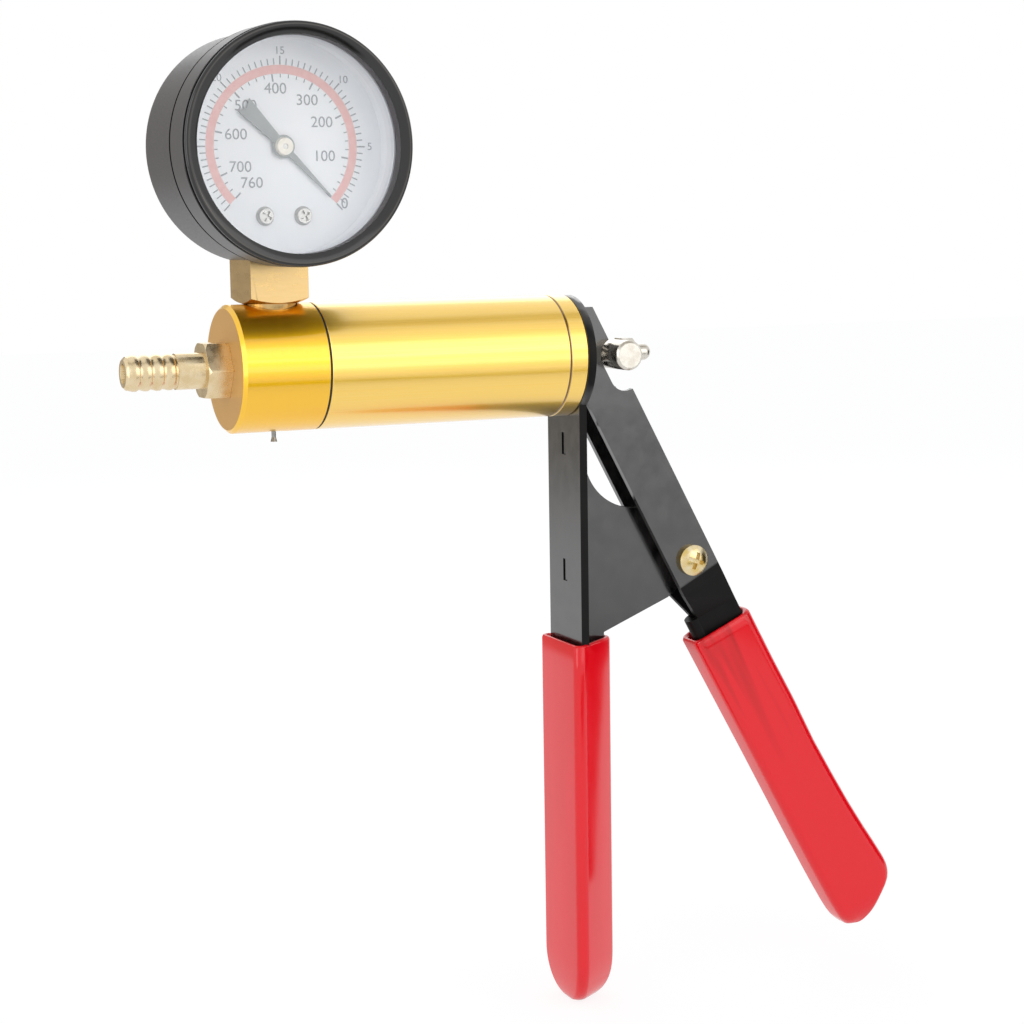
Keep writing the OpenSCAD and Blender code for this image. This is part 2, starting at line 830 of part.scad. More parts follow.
// One point of the rear sleeve's section: flat faces with round corners, narrower in front
function sleeve_point(turn, front, back, inset, z, tilt) =
  let (
    u = [cos(turn), sin(turn)],
    side = sin(turn) < 0 ? -1 : 1,
    r_front = max(1.8 - inset, 0.2),
    r_back = max(2.2 - inset, 0.2),
    f = [inset + r_front - front, side * (rear_front_half - inset - r_front)],
    b = [back - inset - r_back, side * (rear_back_half - inset - r_back)],
    at = f * u + r_front > b * u + r_back ? f + r_front * u : b + r_back * u
  )
  [at.x, at.y, z + tilt * at.x];

module rear_grip() {
  low = -lever_tail;
  run = lever_tail - rear_grip_top;
  // each ring: front face, back face, how far it is drawn in, height and tilt
  rings = [
    [rear_front, rear_back, 0.4, -rear_grip_top, 0],
    [rear_front, rear_back, 0, -rear_grip_top - 0.6, 0],
    [rear_front - 0.5, rear_back + 0.2, 0, low + 0.47 * run, 0],
    [rear_front - 0.65, rear_back + 0.28 * rear_flare, 0, low + 0.27 * run, 0],
    [rear_front - 0.85, rear_back + 0.69 * rear_flare, 0, low + 0.09 * run, 0.02],
    [rear_front - 0.95, rear_back + rear_flare, 0.1, low - 0.1 * rear_past, 0.1],
    [rear_front - 0.95, rear_back + 1.15 * rear_flare, 0.7, low - 0.48 * rear_past, 0.2],
    [rear_front - 0.95, rear_back + 1.17 * rear_flare, 1.6, low - 0.75 * rear_past, 0.3],
    [rear_front - 0.95, rear_back + 1.17 * rear_flare, 3, low - 0.93 * rear_past, 0.36],
    [rear_front - 0.95, rear_back + 1.17 * rear_flare, 4.2, low - rear_past, 0.38]
  ];
  color(red) in_lever() difference() {
    skin([
      for (ring = rings)
      for (j = [0:sleeve_sides - 1])
      sleeve_point(360 * (j + 0.5) / sleeve_sides, ring[0], ring[1], ring[2], ring[3], ring[4])
    ], sleeve_sides);
    translate([0, 0, -lever_tail - seat_gap]) linear_extrude(lever_tail) {
      translate([nose_x, 0]) circle(fold_r + seat_gap);
      polygon([
        [nose_x, -fold_r - seat_gap], [half_depth + seat_gap, -back_out - seat_gap],
        [half_depth + seat_gap, back_out + seat_gap], [nose_x, fold_r + seat_gap]
      ]);
    }
  }
}

// Places what is drawn in the gauge's own frame: x to the right, y up, z out of the dial
module in_gauge() {
  translate([port_x, 0, gauge_z]) rotate([0, 0, gauge_turn]) rotate([90, 0, 0]) children();
}

// Flat oval section of the Bourdon tube
module bourdon_section(half_t, half_w) {
  translate([-half_t, -half_w]) square([2 * half_t, 2 * half_w]);
  for (side = [-1, 1]) {
    translate([0, side * half_w]) circle(half_t);
  }
}

// The Bourdon tube's run from its root to its tip
module bourdon_run(half_t, half_w) {
  rotate(bourdon_tip) rotate_extrude(angle = bourdon_root - bourdon_tip)
    translate([bourdon_r, 0]) bourdon_section(half_t, half_w);
}

module gauge_stem() {
  color(brass) difference() {
    union() {
      translate([port_x, 0, 0]) rotate(gauge_turn) {
        translate([0, 0, stem_seat_z - stem_thread_len]) cylinder(h = stem_thread_len + 0.1, r = stem_thread_r);
        translate([0, 0, stem_seat_z]) cylinder(h = neck_len, r = stem_neck_d / 2);
        intersection() {
          translate([-stem_square / 2, -stem_square / 2, stem_seat_z + neck_len - 0.1])
            cube([stem_square, stem_square, stem_top - stem_seat_z - neck_len + 0.1]);
          translate([0, 0, stem_seat_z + neck_len - 0.1])
            cylinder(h = stem_square, r1 = stem_neck_d / 2 + 0.3, r2 = stem_neck_d / 2 + 2.7 * stem_square);
        }
        translate([0, 0, stem_top - 0.1])
          cylinder(h = gauge_z - stem_top + block_top - block_neck, r = stem_shaft_r);
      }
      in_gauge() {
        translate([-block_w / 2, block_low, -block_back])
          cube([block_w, block_top - block_low, block_back + block_front]);
        for (side = [-1, 1]) {
          translate([side * screw_dx, -screw_drop, block_front - 0.1])
            cylinder(h = dial_z - block_front + 0.1, r = post_r);
        }
      }
    }
    translate([port_x, 0, 0]) cylinder(h = gauge_z - bourdon_r + 1, r = stem_bore_r);
    in_gauge() {
      bourdon_run(bourdon_half_t + seat_gap, bourdon_half_w + seat_gap);
      translate([-block_w / 2 + 0.5, -bourdon_r + 0.6, 0]) rotate([0, 90, 0])
        cylinder(h = block_w / 2, r = stem_bore_r / 2);
      for (side = [-1, 1]) {
        translate([side * screw_dx, -screw_drop, dial_z - screw_len - cut])
          cylinder(h = dial_z, r = screw_r + seat_gap);
      }
    }
  }
}

module gauge_case() {
  inner_r = spigot_case_r - case_wall;
  spigot_end = lens_front - lens_t - 0.1;
  color(black) difference() {
    in_gauge() rotate_extrude() polygon([
      [0, -gauge_back], [case_r - case_chamfer, -gauge_back], [case_r, case_chamfer - gauge_back],
      [case_r, bezel_start], [spigot_case_r, bezel_start], [spigot_case_r, spigot_end],
      [inner_r, spigot_end], [inner_r, case_floor - gauge_back], [0, case_floor - gauge_back]
    ]);
    translate([port_x, 0, 0]) rotate(gauge_turn) {
      translate([-stem_square / 2 - 0.15, -stem_square / 2 - 0.15, 0])
        cube([stem_square + 0.3, stem_square + 0.3, stem_top + 0.1]);
      cylinder(h = gauge_z, r = stem_shaft_r + 0.1);
    }
  }
}

module gauge_bezel() {
  edge_r = 0.9;
  groove_z = gauge_front - bead_t - bead_groove;
  color(black) in_gauge() difference() {
    union() {
      translate([0, 0, bezel_start]) cylinder(h = groove_z - bezel_start, r = bezel_r);
      translate([0, 0, groove_z - 0.1]) cylinder(h = bead_groove + 0.2, r = bezel_r - 0.5);
      translate([0, 0, groove_z + bead_groove]) cylinder(h = bead_t - edge_r, r = bezel_r - 0.2);
      translate([0, 0, gauge_front - edge_r]) rotate_extrude() {
        translate([bezel_r - 0.2 - edge_r, 0]) circle(edge_r);
        translate([lip_r - 0.4 + edge_r, 0]) circle(edge_r);
        translate([lip_r - 0.4 + edge_r, -edge_r]) square([bezel_r - lip_r + 0.2 - 2 * edge_r, 2 * edge_r]);
      }
    }
    translate([0, 0, bezel_start - cut])
      cylinder(h = lens_front - lens_t - bezel_start + cut, r = spigot_case_r + 0.1);
    translate([0, 0, bezel_start]) cylinder(h = lens_front - bezel_start, r = lens_r + 0.1);
    translate([0, 0, bezel_start]) cylinder(h = gauge_depth, r = lip_r);
  }
}

module gauge_lens() {
  color("#dfeef2", 0.35) in_gauge() translate([0, 0, lens_front - lens_t]) cylinder(h = lens_t, r = lens_r);
}

module gauge_dial() {
  color("white") in_gauge() difference() {
    translate([0, 0, dial_z]) cylinder(h = lens_front - lens_t - dial_z - 0.1, r = dial_r);
    translate([0, 0, dial_z + dial_t]) cylinder(h = gauge_depth, r = dial_r - dial_rim);
    translate([0, 0, dial_z - cut]) cylinder(h = dial_t + 2 * cut, r = 1.6);
    for (side = [-1, 1]) {
      translate([side * screw_dx, -screw_drop, dial_z - cut]) cylinder(h = dial_t + 2 * cut, r = screw_r + 0.05);
    }
  }
}

module dial_screws() {
  color(steel) in_gauge() for (side = [-1, 1]) {
    translate([side * screw_dx, -screw_drop, 0]) difference() {
      union() {
        translate([0, 0, dial_z - screw_len]) cylinder(h = screw_len + dial_t + 0.1, r = screw_r);
        translate([0, 0, dial_z + dial_t]) cylinder(h = screw_head_t, r1 = screw_head_r, r2 = screw_head_r - 0.5);
      }
      translate([0, 0, dial_z + dial_t + screw_head_t]) rotate(30 * side) cross_recess(2.4, 0.6, 0.6);
    }
  }
}

module pointer() {
  color(black) in_gauge() rotate(pointer_zero) translate([0, 0, pointer_z]) linear_extrude(pointer_t)
    difference() {
      union() {
        circle(hub_r + 0.5);
        polygon([
          [pointer_tip, -0.12], [pointer_tip, 0.12], [0, 0.8], [-pointer_tail, 1.9],
          [1 - pointer_tail, 0], [-pointer_tail, -1.9], [0, -0.8]
        ]);
      }
      circle(arbor_r + seat_gap);
    }
}

module pointer_hub() {
  color("#e7e2d3") in_gauge() difference() {
    translate([0, 0, pointer_z + pointer_t]) cylinder(h = hub_t, r1 = hub_r, r2 = hub_r - 0.2);
    translate([0, 0, pointer_z]) cylinder(h = hub_t + cut, r = arbor_r + seat_gap);
  }
}

module bourdon_tube() {
  color(brass) in_gauge() {
    difference() {
      bourdon_run(bourdon_half_t, bourdon_half_w);
      rotate(2) bourdon_run(bourdon_half_t - bourdon_skin, bourdon_half_w);
    }
    translate([tip_at.x, tip_at.y, 2]) cylinder(h = link_z + link_t + 0.4 - 2, r = link_pin_r);
  }
}

module tube_link() {
  slot = sector_swing * PI / 180 * tail_r;
  color(steel) in_gauge() translate([0, 0, link_z]) linear_extrude(link_t) difference() {
    strap(tail_at, tip_at + slot / 2 * [cos(45), sin(45)], link_half_w);
    translate(tail_at) circle(link_pin_r + 0.25);
    strap(tip_at, tip_at + slot * [cos(45), sin(45)], link_pin_r + 0.25);
  }
}

// One straight-sided gear tooth on a pitch circle, pointing along +X
module tooth(r) {
  polygon([
    [r - 0.4, -0.2], [r - tooth_depth, -0.18], [r + tooth_depth, -0.07],
    [r + tooth_depth, 0.07], [r - tooth_depth, 0.18], [r - 0.4, 0.2]
  ]);
}

module sector_gear() {
  step = 360 / sector_teeth;
  facing = sector_dir + 180;
  first = -1.5;
  last = sector_swing / step + 1.5;
  color(brass) in_gauge() translate([sector_at.x, sector_at.y, 0]) {
    translate([0, 0, gear_z]) linear_extrude(gear_t) difference() {
      union() {
        circle(1.6);
        intersection() {
          circle(sector_r - 0.3);
          polygon([
            [0, 0], 2 * sector_r * [cos(facing - 6), sin(facing - 6)],
            2 * sector_r * [cos(facing + sector_swing + 6), sin(facing + sector_swing + 6)]
          ]);
        }
        for (i = [first:last]) {
          rotate(facing + i * step) tooth(sector_r);
        }
        strap([0, 0], tail_r * [cos(tail_dir), sin(tail_dir)], 1.1);
      }
      translate((sector_r / 2) * [cos(facing + sector_swing / 2), sin(facing + sector_swing / 2)]) circle(2);
    }
    translate([0, 0, plate_zs[0] - 0.5]) cylinder(h = plate_zs[1] - plate_zs[0] + plate_t + 0.4, r = arbor_r);
    translate(tail_r * [cos(tail_dir), sin(tail_dir)]) translate([0, 0, gear_z + 0.5])
      cylinder(h = link_z + link_t - gear_z - 0.2, r = link_pin_r);
  }
}

module pinion() {
  step = 360 / pinion_teeth;
  color(steel) in_gauge() {
    translate([0, 0, plate_zs[0] - 0.5])
      cylinder(h = pointer_z + pointer_t + hub_t - plate_zs[0] + 0.3, r = arbor_r);
    translate([0, 0, gear_z - 0.1]) linear_extrude(gear_t + 0.2) {
      circle(pinion_r - 0.3);
      for (i = [0:pinion_teeth - 1]) {
        rotate(sector_dir + i * step) tooth(pinion_r);
      }
    }
    translate([0, 0, hair_z - 0.3]) cylinder(h = hair_t + 0.5, r = 1);
  }
}

module movement_plates() {
  post_at = [screw_dx, -screw_drop];
  color(brass) in_gauge() difference() {
    union() {
      for (z = plate_zs) {
        translate([0, 0, z]) linear_extrude(plate_t) {
          for (at = [pillar_at, sector_at, post_at]) {
            translate(at) circle(plate_r);
          }
          flat_bar(pillar_at, sector_at, plate_r - plate_waist);
          flat_bar(sector_at, post_at, plate_r - plate_waist);
        }
      }
      translate([pillar_at.x, pillar_at.y, plate_zs[0]])
        cylinder(h = plate_zs[1] - plate_zs[0] + plate_t, r = pillar_r);
    }
    for (at = [[0, 0], sector_at]) {
      translate([at.x, at.y, 0]) cylinder(h = gauge_depth, r = arbor_r + run_gap);
    }
    translate([post_at.x, post_at.y, 0]) cylinder(h = gauge_depth, r = post_r + seat_gap);
  }
}

module hairspring() {
  steps = 24;
  count = hair_turns * steps;
  grow = (hair_out - hair_in) / count;
  color(steel) in_gauge() translate([0, 0, hair_z]) linear_extrude(hair_t) polygon(concat(
    [for (i = [0:count]) (hair_in + grow * i) * [cos(360 * i / steps), sin(360 * i / steps)]],
    [for (i = [count:-1:0]) (hair_in + hair_w + grow * i) * [cos(360 * i / steps), sin(360 * i / steps)]]
  ));
}

hose_nipple();
front_cap();
cap_seal();
barrel_tube();
rear_cap();
rod_bush();
inlet_valve();
release_body();
release_pin();
release_spring();
piston();
piston_cup();
piston_washer();
piston_screw();
piston_rod();
return_spring();
cross_pin();
rod_nut();
handle_bar();
handle_screws();
gusset_plate();
lever();
pivot_screw();
pivot_spacers();
pivot_nut();
front_grip();
rear_grip();
gauge_stem();
gauge_case();
gauge_bezel();
gauge_lens();
gauge_dial();
dial_screws();
pointer();
pointer_hub();
bourdon_tube();
tube_link();
sector_gear();
pinion();
movement_plates();
hairspring();
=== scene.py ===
# %% [markdown]
# A hand vacuum pump with a dial gauge, dressed for a studio picture.
# The solids come ready from the CAD frame, so this lesson is mostly about surfaces, print and light.
# Five pieces are made again here: the two dipped sleeves, which are soft, the two coil springs, which
# shorten as the pump works, and the gauge's rolled front ring.

# %% Load the frame
import bpy, bmesh, json, math
from mathutils import Matrix, Vector


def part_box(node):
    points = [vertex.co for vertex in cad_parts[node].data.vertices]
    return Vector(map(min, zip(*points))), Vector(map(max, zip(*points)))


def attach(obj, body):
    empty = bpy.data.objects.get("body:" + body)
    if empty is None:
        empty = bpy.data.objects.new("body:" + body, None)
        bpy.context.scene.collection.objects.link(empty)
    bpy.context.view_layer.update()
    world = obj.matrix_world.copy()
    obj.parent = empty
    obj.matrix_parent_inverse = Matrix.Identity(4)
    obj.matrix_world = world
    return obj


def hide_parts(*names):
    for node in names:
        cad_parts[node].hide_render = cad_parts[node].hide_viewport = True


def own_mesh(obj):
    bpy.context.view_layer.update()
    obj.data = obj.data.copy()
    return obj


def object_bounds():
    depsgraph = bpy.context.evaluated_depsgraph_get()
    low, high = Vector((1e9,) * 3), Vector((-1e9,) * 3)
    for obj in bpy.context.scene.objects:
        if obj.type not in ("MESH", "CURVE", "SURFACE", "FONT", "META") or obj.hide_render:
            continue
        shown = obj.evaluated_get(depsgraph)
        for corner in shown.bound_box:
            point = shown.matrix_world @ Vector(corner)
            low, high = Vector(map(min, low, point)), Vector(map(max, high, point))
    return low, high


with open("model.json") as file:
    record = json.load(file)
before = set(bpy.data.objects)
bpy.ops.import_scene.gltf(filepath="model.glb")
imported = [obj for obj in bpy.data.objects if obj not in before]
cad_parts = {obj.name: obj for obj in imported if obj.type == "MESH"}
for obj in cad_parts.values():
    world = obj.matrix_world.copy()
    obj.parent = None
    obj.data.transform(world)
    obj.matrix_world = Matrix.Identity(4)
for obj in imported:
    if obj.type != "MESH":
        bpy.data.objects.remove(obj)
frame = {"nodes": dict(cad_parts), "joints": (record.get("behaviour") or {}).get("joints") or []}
cad_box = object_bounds()
nodes = frame["nodes"]
MM = 0.001
print("CAD nodes:", len(nodes), "box:", [[round(v, 4) for v in corner] for corner in cad_box])

# %% [markdown]
# Every material below is a small node tree, so two helpers save most of the typing.
# One turns the hex colours that a picture editor shows into the linear light that Blender computes with.
# The other adds any node: a setting whose name is a socket goes to that socket, any other is a property,
# and "stops" are the two colours of a ramp.

# %% Two helpers for node trees
def linear(code):
    parts = [int(code[i:i + 2], 16) / 255 for i in (1, 3, 5)]
    return [c / 12.92 if c <= 0.04045 else ((c + 0.055) / 1.055) ** 2.4 for c in parts] + [1.0]


def add(tree, kind, settings=None, links=None):
    node = tree.nodes.new(kind)
    for key, value in (settings or {}).items():
        if key == "stops":
            for element, (place, colour) in zip(node.color_ramp.elements, value):
                element.position, element.color = place, linear(colour)
        elif isinstance(key, int) or key in node.inputs:
            node.inputs[key].default_value = value
        else:
            setattr(node, key, value)
    for key, (source, output) in (links or {}).items():
        tree.links.new(source.outputs[output], node.inputs[key])
    return node


print("mid grey #808080 in linear light:", round(linear("#808080")[0], 3))

# %% [markdown]
# The camera comes first, because everything is judged through it.
# Its place was found by fitting the barrel's long edges and the handle in the photograph.
# It stands half a metre away, 24 degrees round to the left and a little above, with a slight roll.

# %% Camera
AZIMUTH, ELEVATION, ROLL = map(math.radians, (-24.47, 7.46, -0.9))
TARGET = Vector((0.0749, 0.0, -0.0366))
DISTANCE = 0.517
SENSOR_MM, FOCAL_PX, PICTURE_PX = 36.0, 2182, 1024


def stand(x_axis, y_axis, z_axis, centre):
    rows = [[x_axis[i], y_axis[i], z_axis[i], centre[i]] for i in range(3)]
    return Matrix(rows + [[0, 0, 0, 1]])


flat = math.cos(ELEVATION)
back = Vector((math.sin(AZIMUTH) * flat, -math.cos(AZIMUTH) * flat, math.sin(ELEVATION)))
level = Vector((math.cos(AZIMUTH), math.sin(AZIMUTH), 0.0))
rise = back.cross(level)
right = level * math.cos(ROLL) + rise * math.sin(ROLL)
up = rise * math.cos(ROLL) - level * math.sin(ROLL)
eye = TARGET + back * DISTANCE
lens = bpy.data.cameras.new("camera")
lens.sensor_width, lens.lens = SENSOR_MM, SENSOR_MM * FOCAL_PX / PICTURE_PX
lens.clip_start = 0.01
camera = bpy.data.objects.new("camera", lens)
camera.matrix_world = stand(right, up, back, eye)
scene = bpy.context.scene
scene.collection.objects.link(camera)
scene.camera = camera
print("focal length:", round(lens.lens, 1), "mm, camera at", [round(v, 3) for v in eye])

# %% [markdown]
# A finish begins as one Principled shader and then gets its grain.
# Real surfaces are never quite even: the grain changes the gloss from place to place, lifts the surface by
# a few microns and lets the colour drift. Its blotches have a real size in millimetres along X, Y and Z,
# so a drawn tube gets long streaks. Noise mostly lies between 0.3 and 0.7, so that range is stretched.

# %% Start a finish, and give it grain
NOISE = {"From Min": 0.3, "From Max": 0.7}


def finish(name, colour, metallic, roughness, **more):
    material = bpy.data.materials.new(name)
    material.use_nodes = True
    tree = material.node_tree
    tree.nodes.clear()
    settings = {"Base Color": linear(colour), "Metallic": metallic, "Roughness": roughness}
    settings.update({key.replace("_", " "): value for key, value in more.items()})
    shader = add(tree, "ShaderNodeBsdfPrincipled", settings)
    add(tree, "ShaderNodeOutputMaterial", links={"Surface": (shader, "BSDF")})
    print("finish:", name)
    return material, tree, shader


def blotches(tree, source, size_mm, detail):
    scaled = add(tree, "ShaderNodeMapping", {"Scale": [1000 / s for s in size_mm]}, {"Vector": source})
    return add(tree, "ShaderNodeTexNoise", {"Scale": 1.0, "Detail": detail}, {"Vector": (scaled, "Vector")})


def grain(tree, shader, size_mm, gloss, lift_mm, tints=None, detail=3.0):
    where = add(tree, "ShaderNodeTexCoord")
    noise = blotches(tree, (where, "Object"), size_mm, detail)
    even = add(tree, "ShaderNodeMapRange", {**NOISE, "To Min": gloss[0], "To Max": gloss[1]},
               {"Value": (noise, "Fac")})
    tree.links.new(even.outputs["Result"], shader.inputs["Roughness"])
    if lift_mm:
        bump = add(tree, "ShaderNodeBump", {"Strength": 1.0, "Distance": lift_mm * MM},
                   {"Height": (noise, "Fac")})
        tree.links.new(bump.outputs["Normal"], shader.inputs["Normal"])
    if tints:
        colours = add(tree, "ShaderNodeValToRGB", {"stops": [(0.35, tints[0]), (0.65, tints[1])]},
                      {"Fac": (noise, "Fac")})
        tree.links.new(colours.outputs["Color"], shader.inputs["Base Color"])


print("noise from", NOISE["From Min"], "to", NOISE["From Max"], "is stretched to the full range")

# %% [markdown]
# The barrel is aluminium tube, drawn through a die and then anodised gold.
# Drawing leaves faint lines along the tube, and the dyed oxide keeps the metal's shine but tints it.
# Real draw lines are about 0.05 mm wide; here they are 0.25 mm so that they still show at this distance.
# The thin groove in front of the rear ring is painted brown, as painted shade in the groove.

# %% Gold anodised tube
DRAW_LINE_MM = (30, 0.25, 0.25)
GROOVE_X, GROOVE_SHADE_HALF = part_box("barrel_tube")[1][0], 0.35 * MM
gold_tube, tree, shader = finish("gold_anodised_drawn_aluminium", "#fdd049", 1.0, 0.34,
                                 Coat_Weight=1.0, Coat_IOR=2.0, Coat_Roughness=0.16)
grain(tree, shader, DRAW_LINE_MM, (0.3, 0.38), 0.0005, ("#fccd43", "#fed351"))
dyed = shader.inputs["Base Color"].links[0].from_node
where = add(tree, "ShaderNodeTexCoord")
spot = add(tree, "ShaderNodeSeparateXYZ", links={0: (where, "Object")})
off = add(tree, "ShaderNodeMath", {"operation": "SUBTRACT", 1: GROOVE_X}, {0: (spot, "X")})
off = add(tree, "ShaderNodeMath", {"operation": "ABSOLUTE"}, {0: (off, 0)})
# Painted shade: within 0.35 mm of the groove the gold turns brown.
groove_shade = add(tree, "ShaderNodeMapRange", {"From Min": GROOVE_SHADE_HALF, "From Max": GROOVE_SHADE_HALF / 2}, {"Value": (off, 0)})
# Sockets 6 and 7 are the two colours of a Mix node, and output 2 is the mixed colour.
colours = add(tree, "ShaderNodeMix", {"data_type": "RGBA", 7: linear("#7a5512")},
              {0: (groove_shade, 0), 6: (dyed, 0)})
tree.links.new(colours.outputs[2], shader.inputs["Base Color"])
print("brown groove at x =", round(GROOVE_X / MM, 1), "mm")

# %% [markdown]
# The front cap is turned from bar and dyed a stronger gold than the tube.
# A lathe leaves fine rings round it, and on its end face the tool mark is coarser, so that face is duller.
# The end face is also painted a browner gold, as painted shade. The end face is found by its normal, which
# points along minus X there and nowhere else.
# Real tool rings are about 0.1 mm apart; here they are 0.3 mm so that they still show.

# %% Gold anodised cap
TOOL_RING_MM = (0.3, 12.5, 12.5)
CAP_GOLD, FACE_SHADED_GOLD, FACE_DULLER = "#fdc506", "#e4b25c", 0.2
gold_cap, tree, shader = finish("gold_anodised_turned_aluminium", CAP_GOLD, 1.0, 0.36,
                                Coat_Weight=0.6, Coat_IOR=2.0, Coat_Roughness=0.12)
where = add(tree, "ShaderNodeTexCoord")
facing = add(tree, "ShaderNodeSeparateXYZ", links={0: (where, "Normal")})
end_face = add(tree, "ShaderNodeMapRange", {"From Min": -0.8, "From Max": -0.95}, {"Value": (facing, "X")})
# Painted shade: the end face gets the browner gold.
colours = add(tree, "ShaderNodeValToRGB", {"stops": [(0.0, CAP_GOLD), (1.0, FACE_SHADED_GOLD)]},
              {"Fac": (end_face, "Result")})
rings = blotches(tree, (where, "Object"), TOOL_RING_MM, 3.0)
fine = add(tree, "ShaderNodeMapRange", {**NOISE, "To Min": 0.33, "To Max": 0.4}, {"Value": (rings, "Fac")})
dull = add(tree, "ShaderNodeMath", {"operation": "MULTIPLY_ADD", 1: FACE_DULLER},
           {0: (end_face, "Result"), 2: (fine, "Result")})
tree.links.new(colours.outputs["Color"], shader.inputs["Base Color"])
tree.links.new(dull.outputs[0], shader.inputs["Roughness"])
print("the cap's end face is duller by", FACE_DULLER)

# %% [markdown]
# The nipple and the release valve are turned from brass rod, the gauge's stem is milled from brass bar and
# the gauge's works are stamped from brass sheet. All of it stays bare.
# Tarnish dulls brass in patches a few millimetres wide, and each way of cutting adds its own look.

# %% Bare brass
# Turned brass is bright and pale.
brass, tree, shader = finish("turned_brass_bare", "#e3cea6", 1.0, 0.25)
grain(tree, shader, (2.5, 3, 3), (0.2, 0.34), 0.001, ("#dbc499", "#ead8b4"))
# A milled face keeps shallow cutter marks and looks deeper in colour.
milled_brass, tree, shader = finish("milled_brass_bare", "#cfb27c", 1.0, 0.3)
grain(tree, shader, (4, 4, 1.2), (0.26, 0.34), 0.0006, ("#ccae78", "#d3b682"), 1.5)
# Stamped sheet is the deepest yellow, with a soft even shine.
works_brass, tree, shader = finish("stamped_brass_bare", "#c9a25a", 1.0, 0.3)
grain(tree, shader, (1.5, 1.5, 1.5), (0.26, 0.36), 0.001, ("#c39b52", "#cfa963"))

# %% [markdown]
# The bar, the gusset and the lever are steel sheet, blacked in a hot bath and then oiled and lacquered.
# Black oxide bends light more than paint does, so a tenth of the light comes back even when it is met head
# on. The bath never takes evenly: clouds of darker and paler black, about 4 mm wide, lie over a shallow
# ripple. Some places are matt and nearly black, so this finish can be told how to find them; on the lever
# that darker black is painted shade.

# %% Blacked sheet steel
CLOUD_MM, RIPPLE_MM = (4, 4, 4), 0.004
DARK_BLACK, PALE_BLACK = "#0b0a0a", "#2b2928"
MATT_ROUGHER, MATT_OR_SHADE_PALENESS = 0.3, 0.1
MATT_SHINE, FULL_SHINE = 0.06, 0.5


def blacken(name, find_matt_or_shade=None):
    material, tree, shader = finish(name, "#1a1818", 0.0, 0.16, IOR=1.95)
    where = add(tree, "ShaderNodeTexCoord")
    cloud = blotches(tree, (where, "Object"), CLOUD_MM, 4.0)
    gloss = add(tree, "ShaderNodeMapRange", {**NOISE, "To Min": 0.12, "To Max": 0.2}, {"Value": (cloud, "Fac")})
    pale = add(tree, "ShaderNodeMapRange", {"From Min": 0.35, "From Max": 0.65}, {"Value": (cloud, "Fac")})
    if find_matt_or_shade:
        # Where this mask is high the black gets darker: on the bar that is the cut sides' own black, on the
        # lever it is painted shade.
        matt_or_shade = find_matt_or_shade(tree, where)
        left = add(tree, "ShaderNodeMapRange", {"To Min": 1.0, "To Max": MATT_OR_SHADE_PALENESS}, {"Value": (matt_or_shade, 0)})
        pale = add(tree, "ShaderNodeMath", {"operation": "MULTIPLY"}, {0: (pale, 0), 1: (left, 0)})
        gloss = add(tree, "ShaderNodeMath", {"operation": "MULTIPLY_ADD", 1: MATT_ROUGHER},
                    {0: (matt_or_shade, 0), 2: (gloss, 0)})
        shine = add(tree, "ShaderNodeMapRange", {"To Min": FULL_SHINE, "To Max": MATT_SHINE},
                    {"Value": (matt_or_shade, 0)})
        tree.links.new(shine.outputs[0], shader.inputs["Specular IOR Level"])
    colours = add(tree, "ShaderNodeValToRGB", {"stops": [(0.0, DARK_BLACK), (1.0, PALE_BLACK)]},
                  {"Fac": (pale, 0)})
    bump = add(tree, "ShaderNodeBump", {"Strength": 1.0, "Distance": RIPPLE_MM * MM},
               {"Height": (cloud, "Fac")})
    for source, socket in ((colours, "Base Color"), (gloss, "Roughness"), (bump, "Normal")):
        tree.links.new(source.outputs[0], shader.inputs[socket])
    return material


blacked = blacken("black_oxide_lacquered_sheet_steel")

# %% [markdown]
# The front bar is sheared from strip, and the cut sides take the black deeper than the rolled face does.
# They are the faces that look along Y, so the normal finds them.

# %% Blacked bar with its cut sides
def cut_sides(tree, where):
    facing = add(tree, "ShaderNodeSeparateXYZ", links={0: (where, "Normal")})
    sideways = add(tree, "ShaderNodeMath", {"operation": "ABSOLUTE"}, {0: (facing, "Y")})
    return add(tree, "ShaderNodeMapRange", {"From Min": 0.6, "From Max": 0.9}, {"Value": (sideways, 0)})


blacked_bar = blacken("black_oxide_lacquered_sheared_strip_steel", cut_sides)

# %% [markdown]
# There it is matt, and its colour is painted nearly black as painted shade, for the bent skin turned from the
# light.
# There the photograph shows it nearly black, because the bent skin is matt and turned from the light.
# The change comes at a height below the pivot, measured along the lever, which leans back by 28 degrees.

# %% Blacked lever with its matt tail in painted shade
joints = {joint["name"]: joint for joint in frame["joints"]}
PIVOT = Vector(joints["lever_squeeze"]["pos_m"])
LEAN = math.radians(28)
BEND_DROP, BEND_RUN = 4.2, 0.5
along_back = Vector((math.cos(LEAN), 0, math.sin(LEAN)))
along_up = Vector((-math.sin(LEAN), 0, math.cos(LEAN)))


# The lever's tail mask: below the pivot the colour is painted darker, as painted shade for the pinched walls.
def pinched_tail(tree, where):
    from_pivot = add(tree, "ShaderNodeVectorMath", {"operation": "SUBTRACT", 1: PIVOT}, {0: (where, "Object")})
    height = add(tree, "ShaderNodeVectorMath", {"operation": "DOT_PRODUCT", 1: along_up}, {0: (from_pivot, 0)})
    return add(tree, "ShaderNodeMapRange",
               {"From Min": -BEND_DROP * MM, "From Max": (-BEND_DROP - BEND_RUN) * MM},
               {"Value": (height, "Value")})


blacked_lever = blacken("black_oxide_lacquered_bent_sheet_steel", pinched_tail)

# %% [markdown]
# The gauge's case is pressed steel with a satin black powder coat, which spreads light into a grey sheen.
# Real powder grain is about 0.1 mm; here it is 0.4 mm so that it still shows.
# Where the case slips under the front ring it lies in the ring's shade, so the coat goes black there.
# The pointer's joint gives the gauge's centre and the axis along which that place is measured.

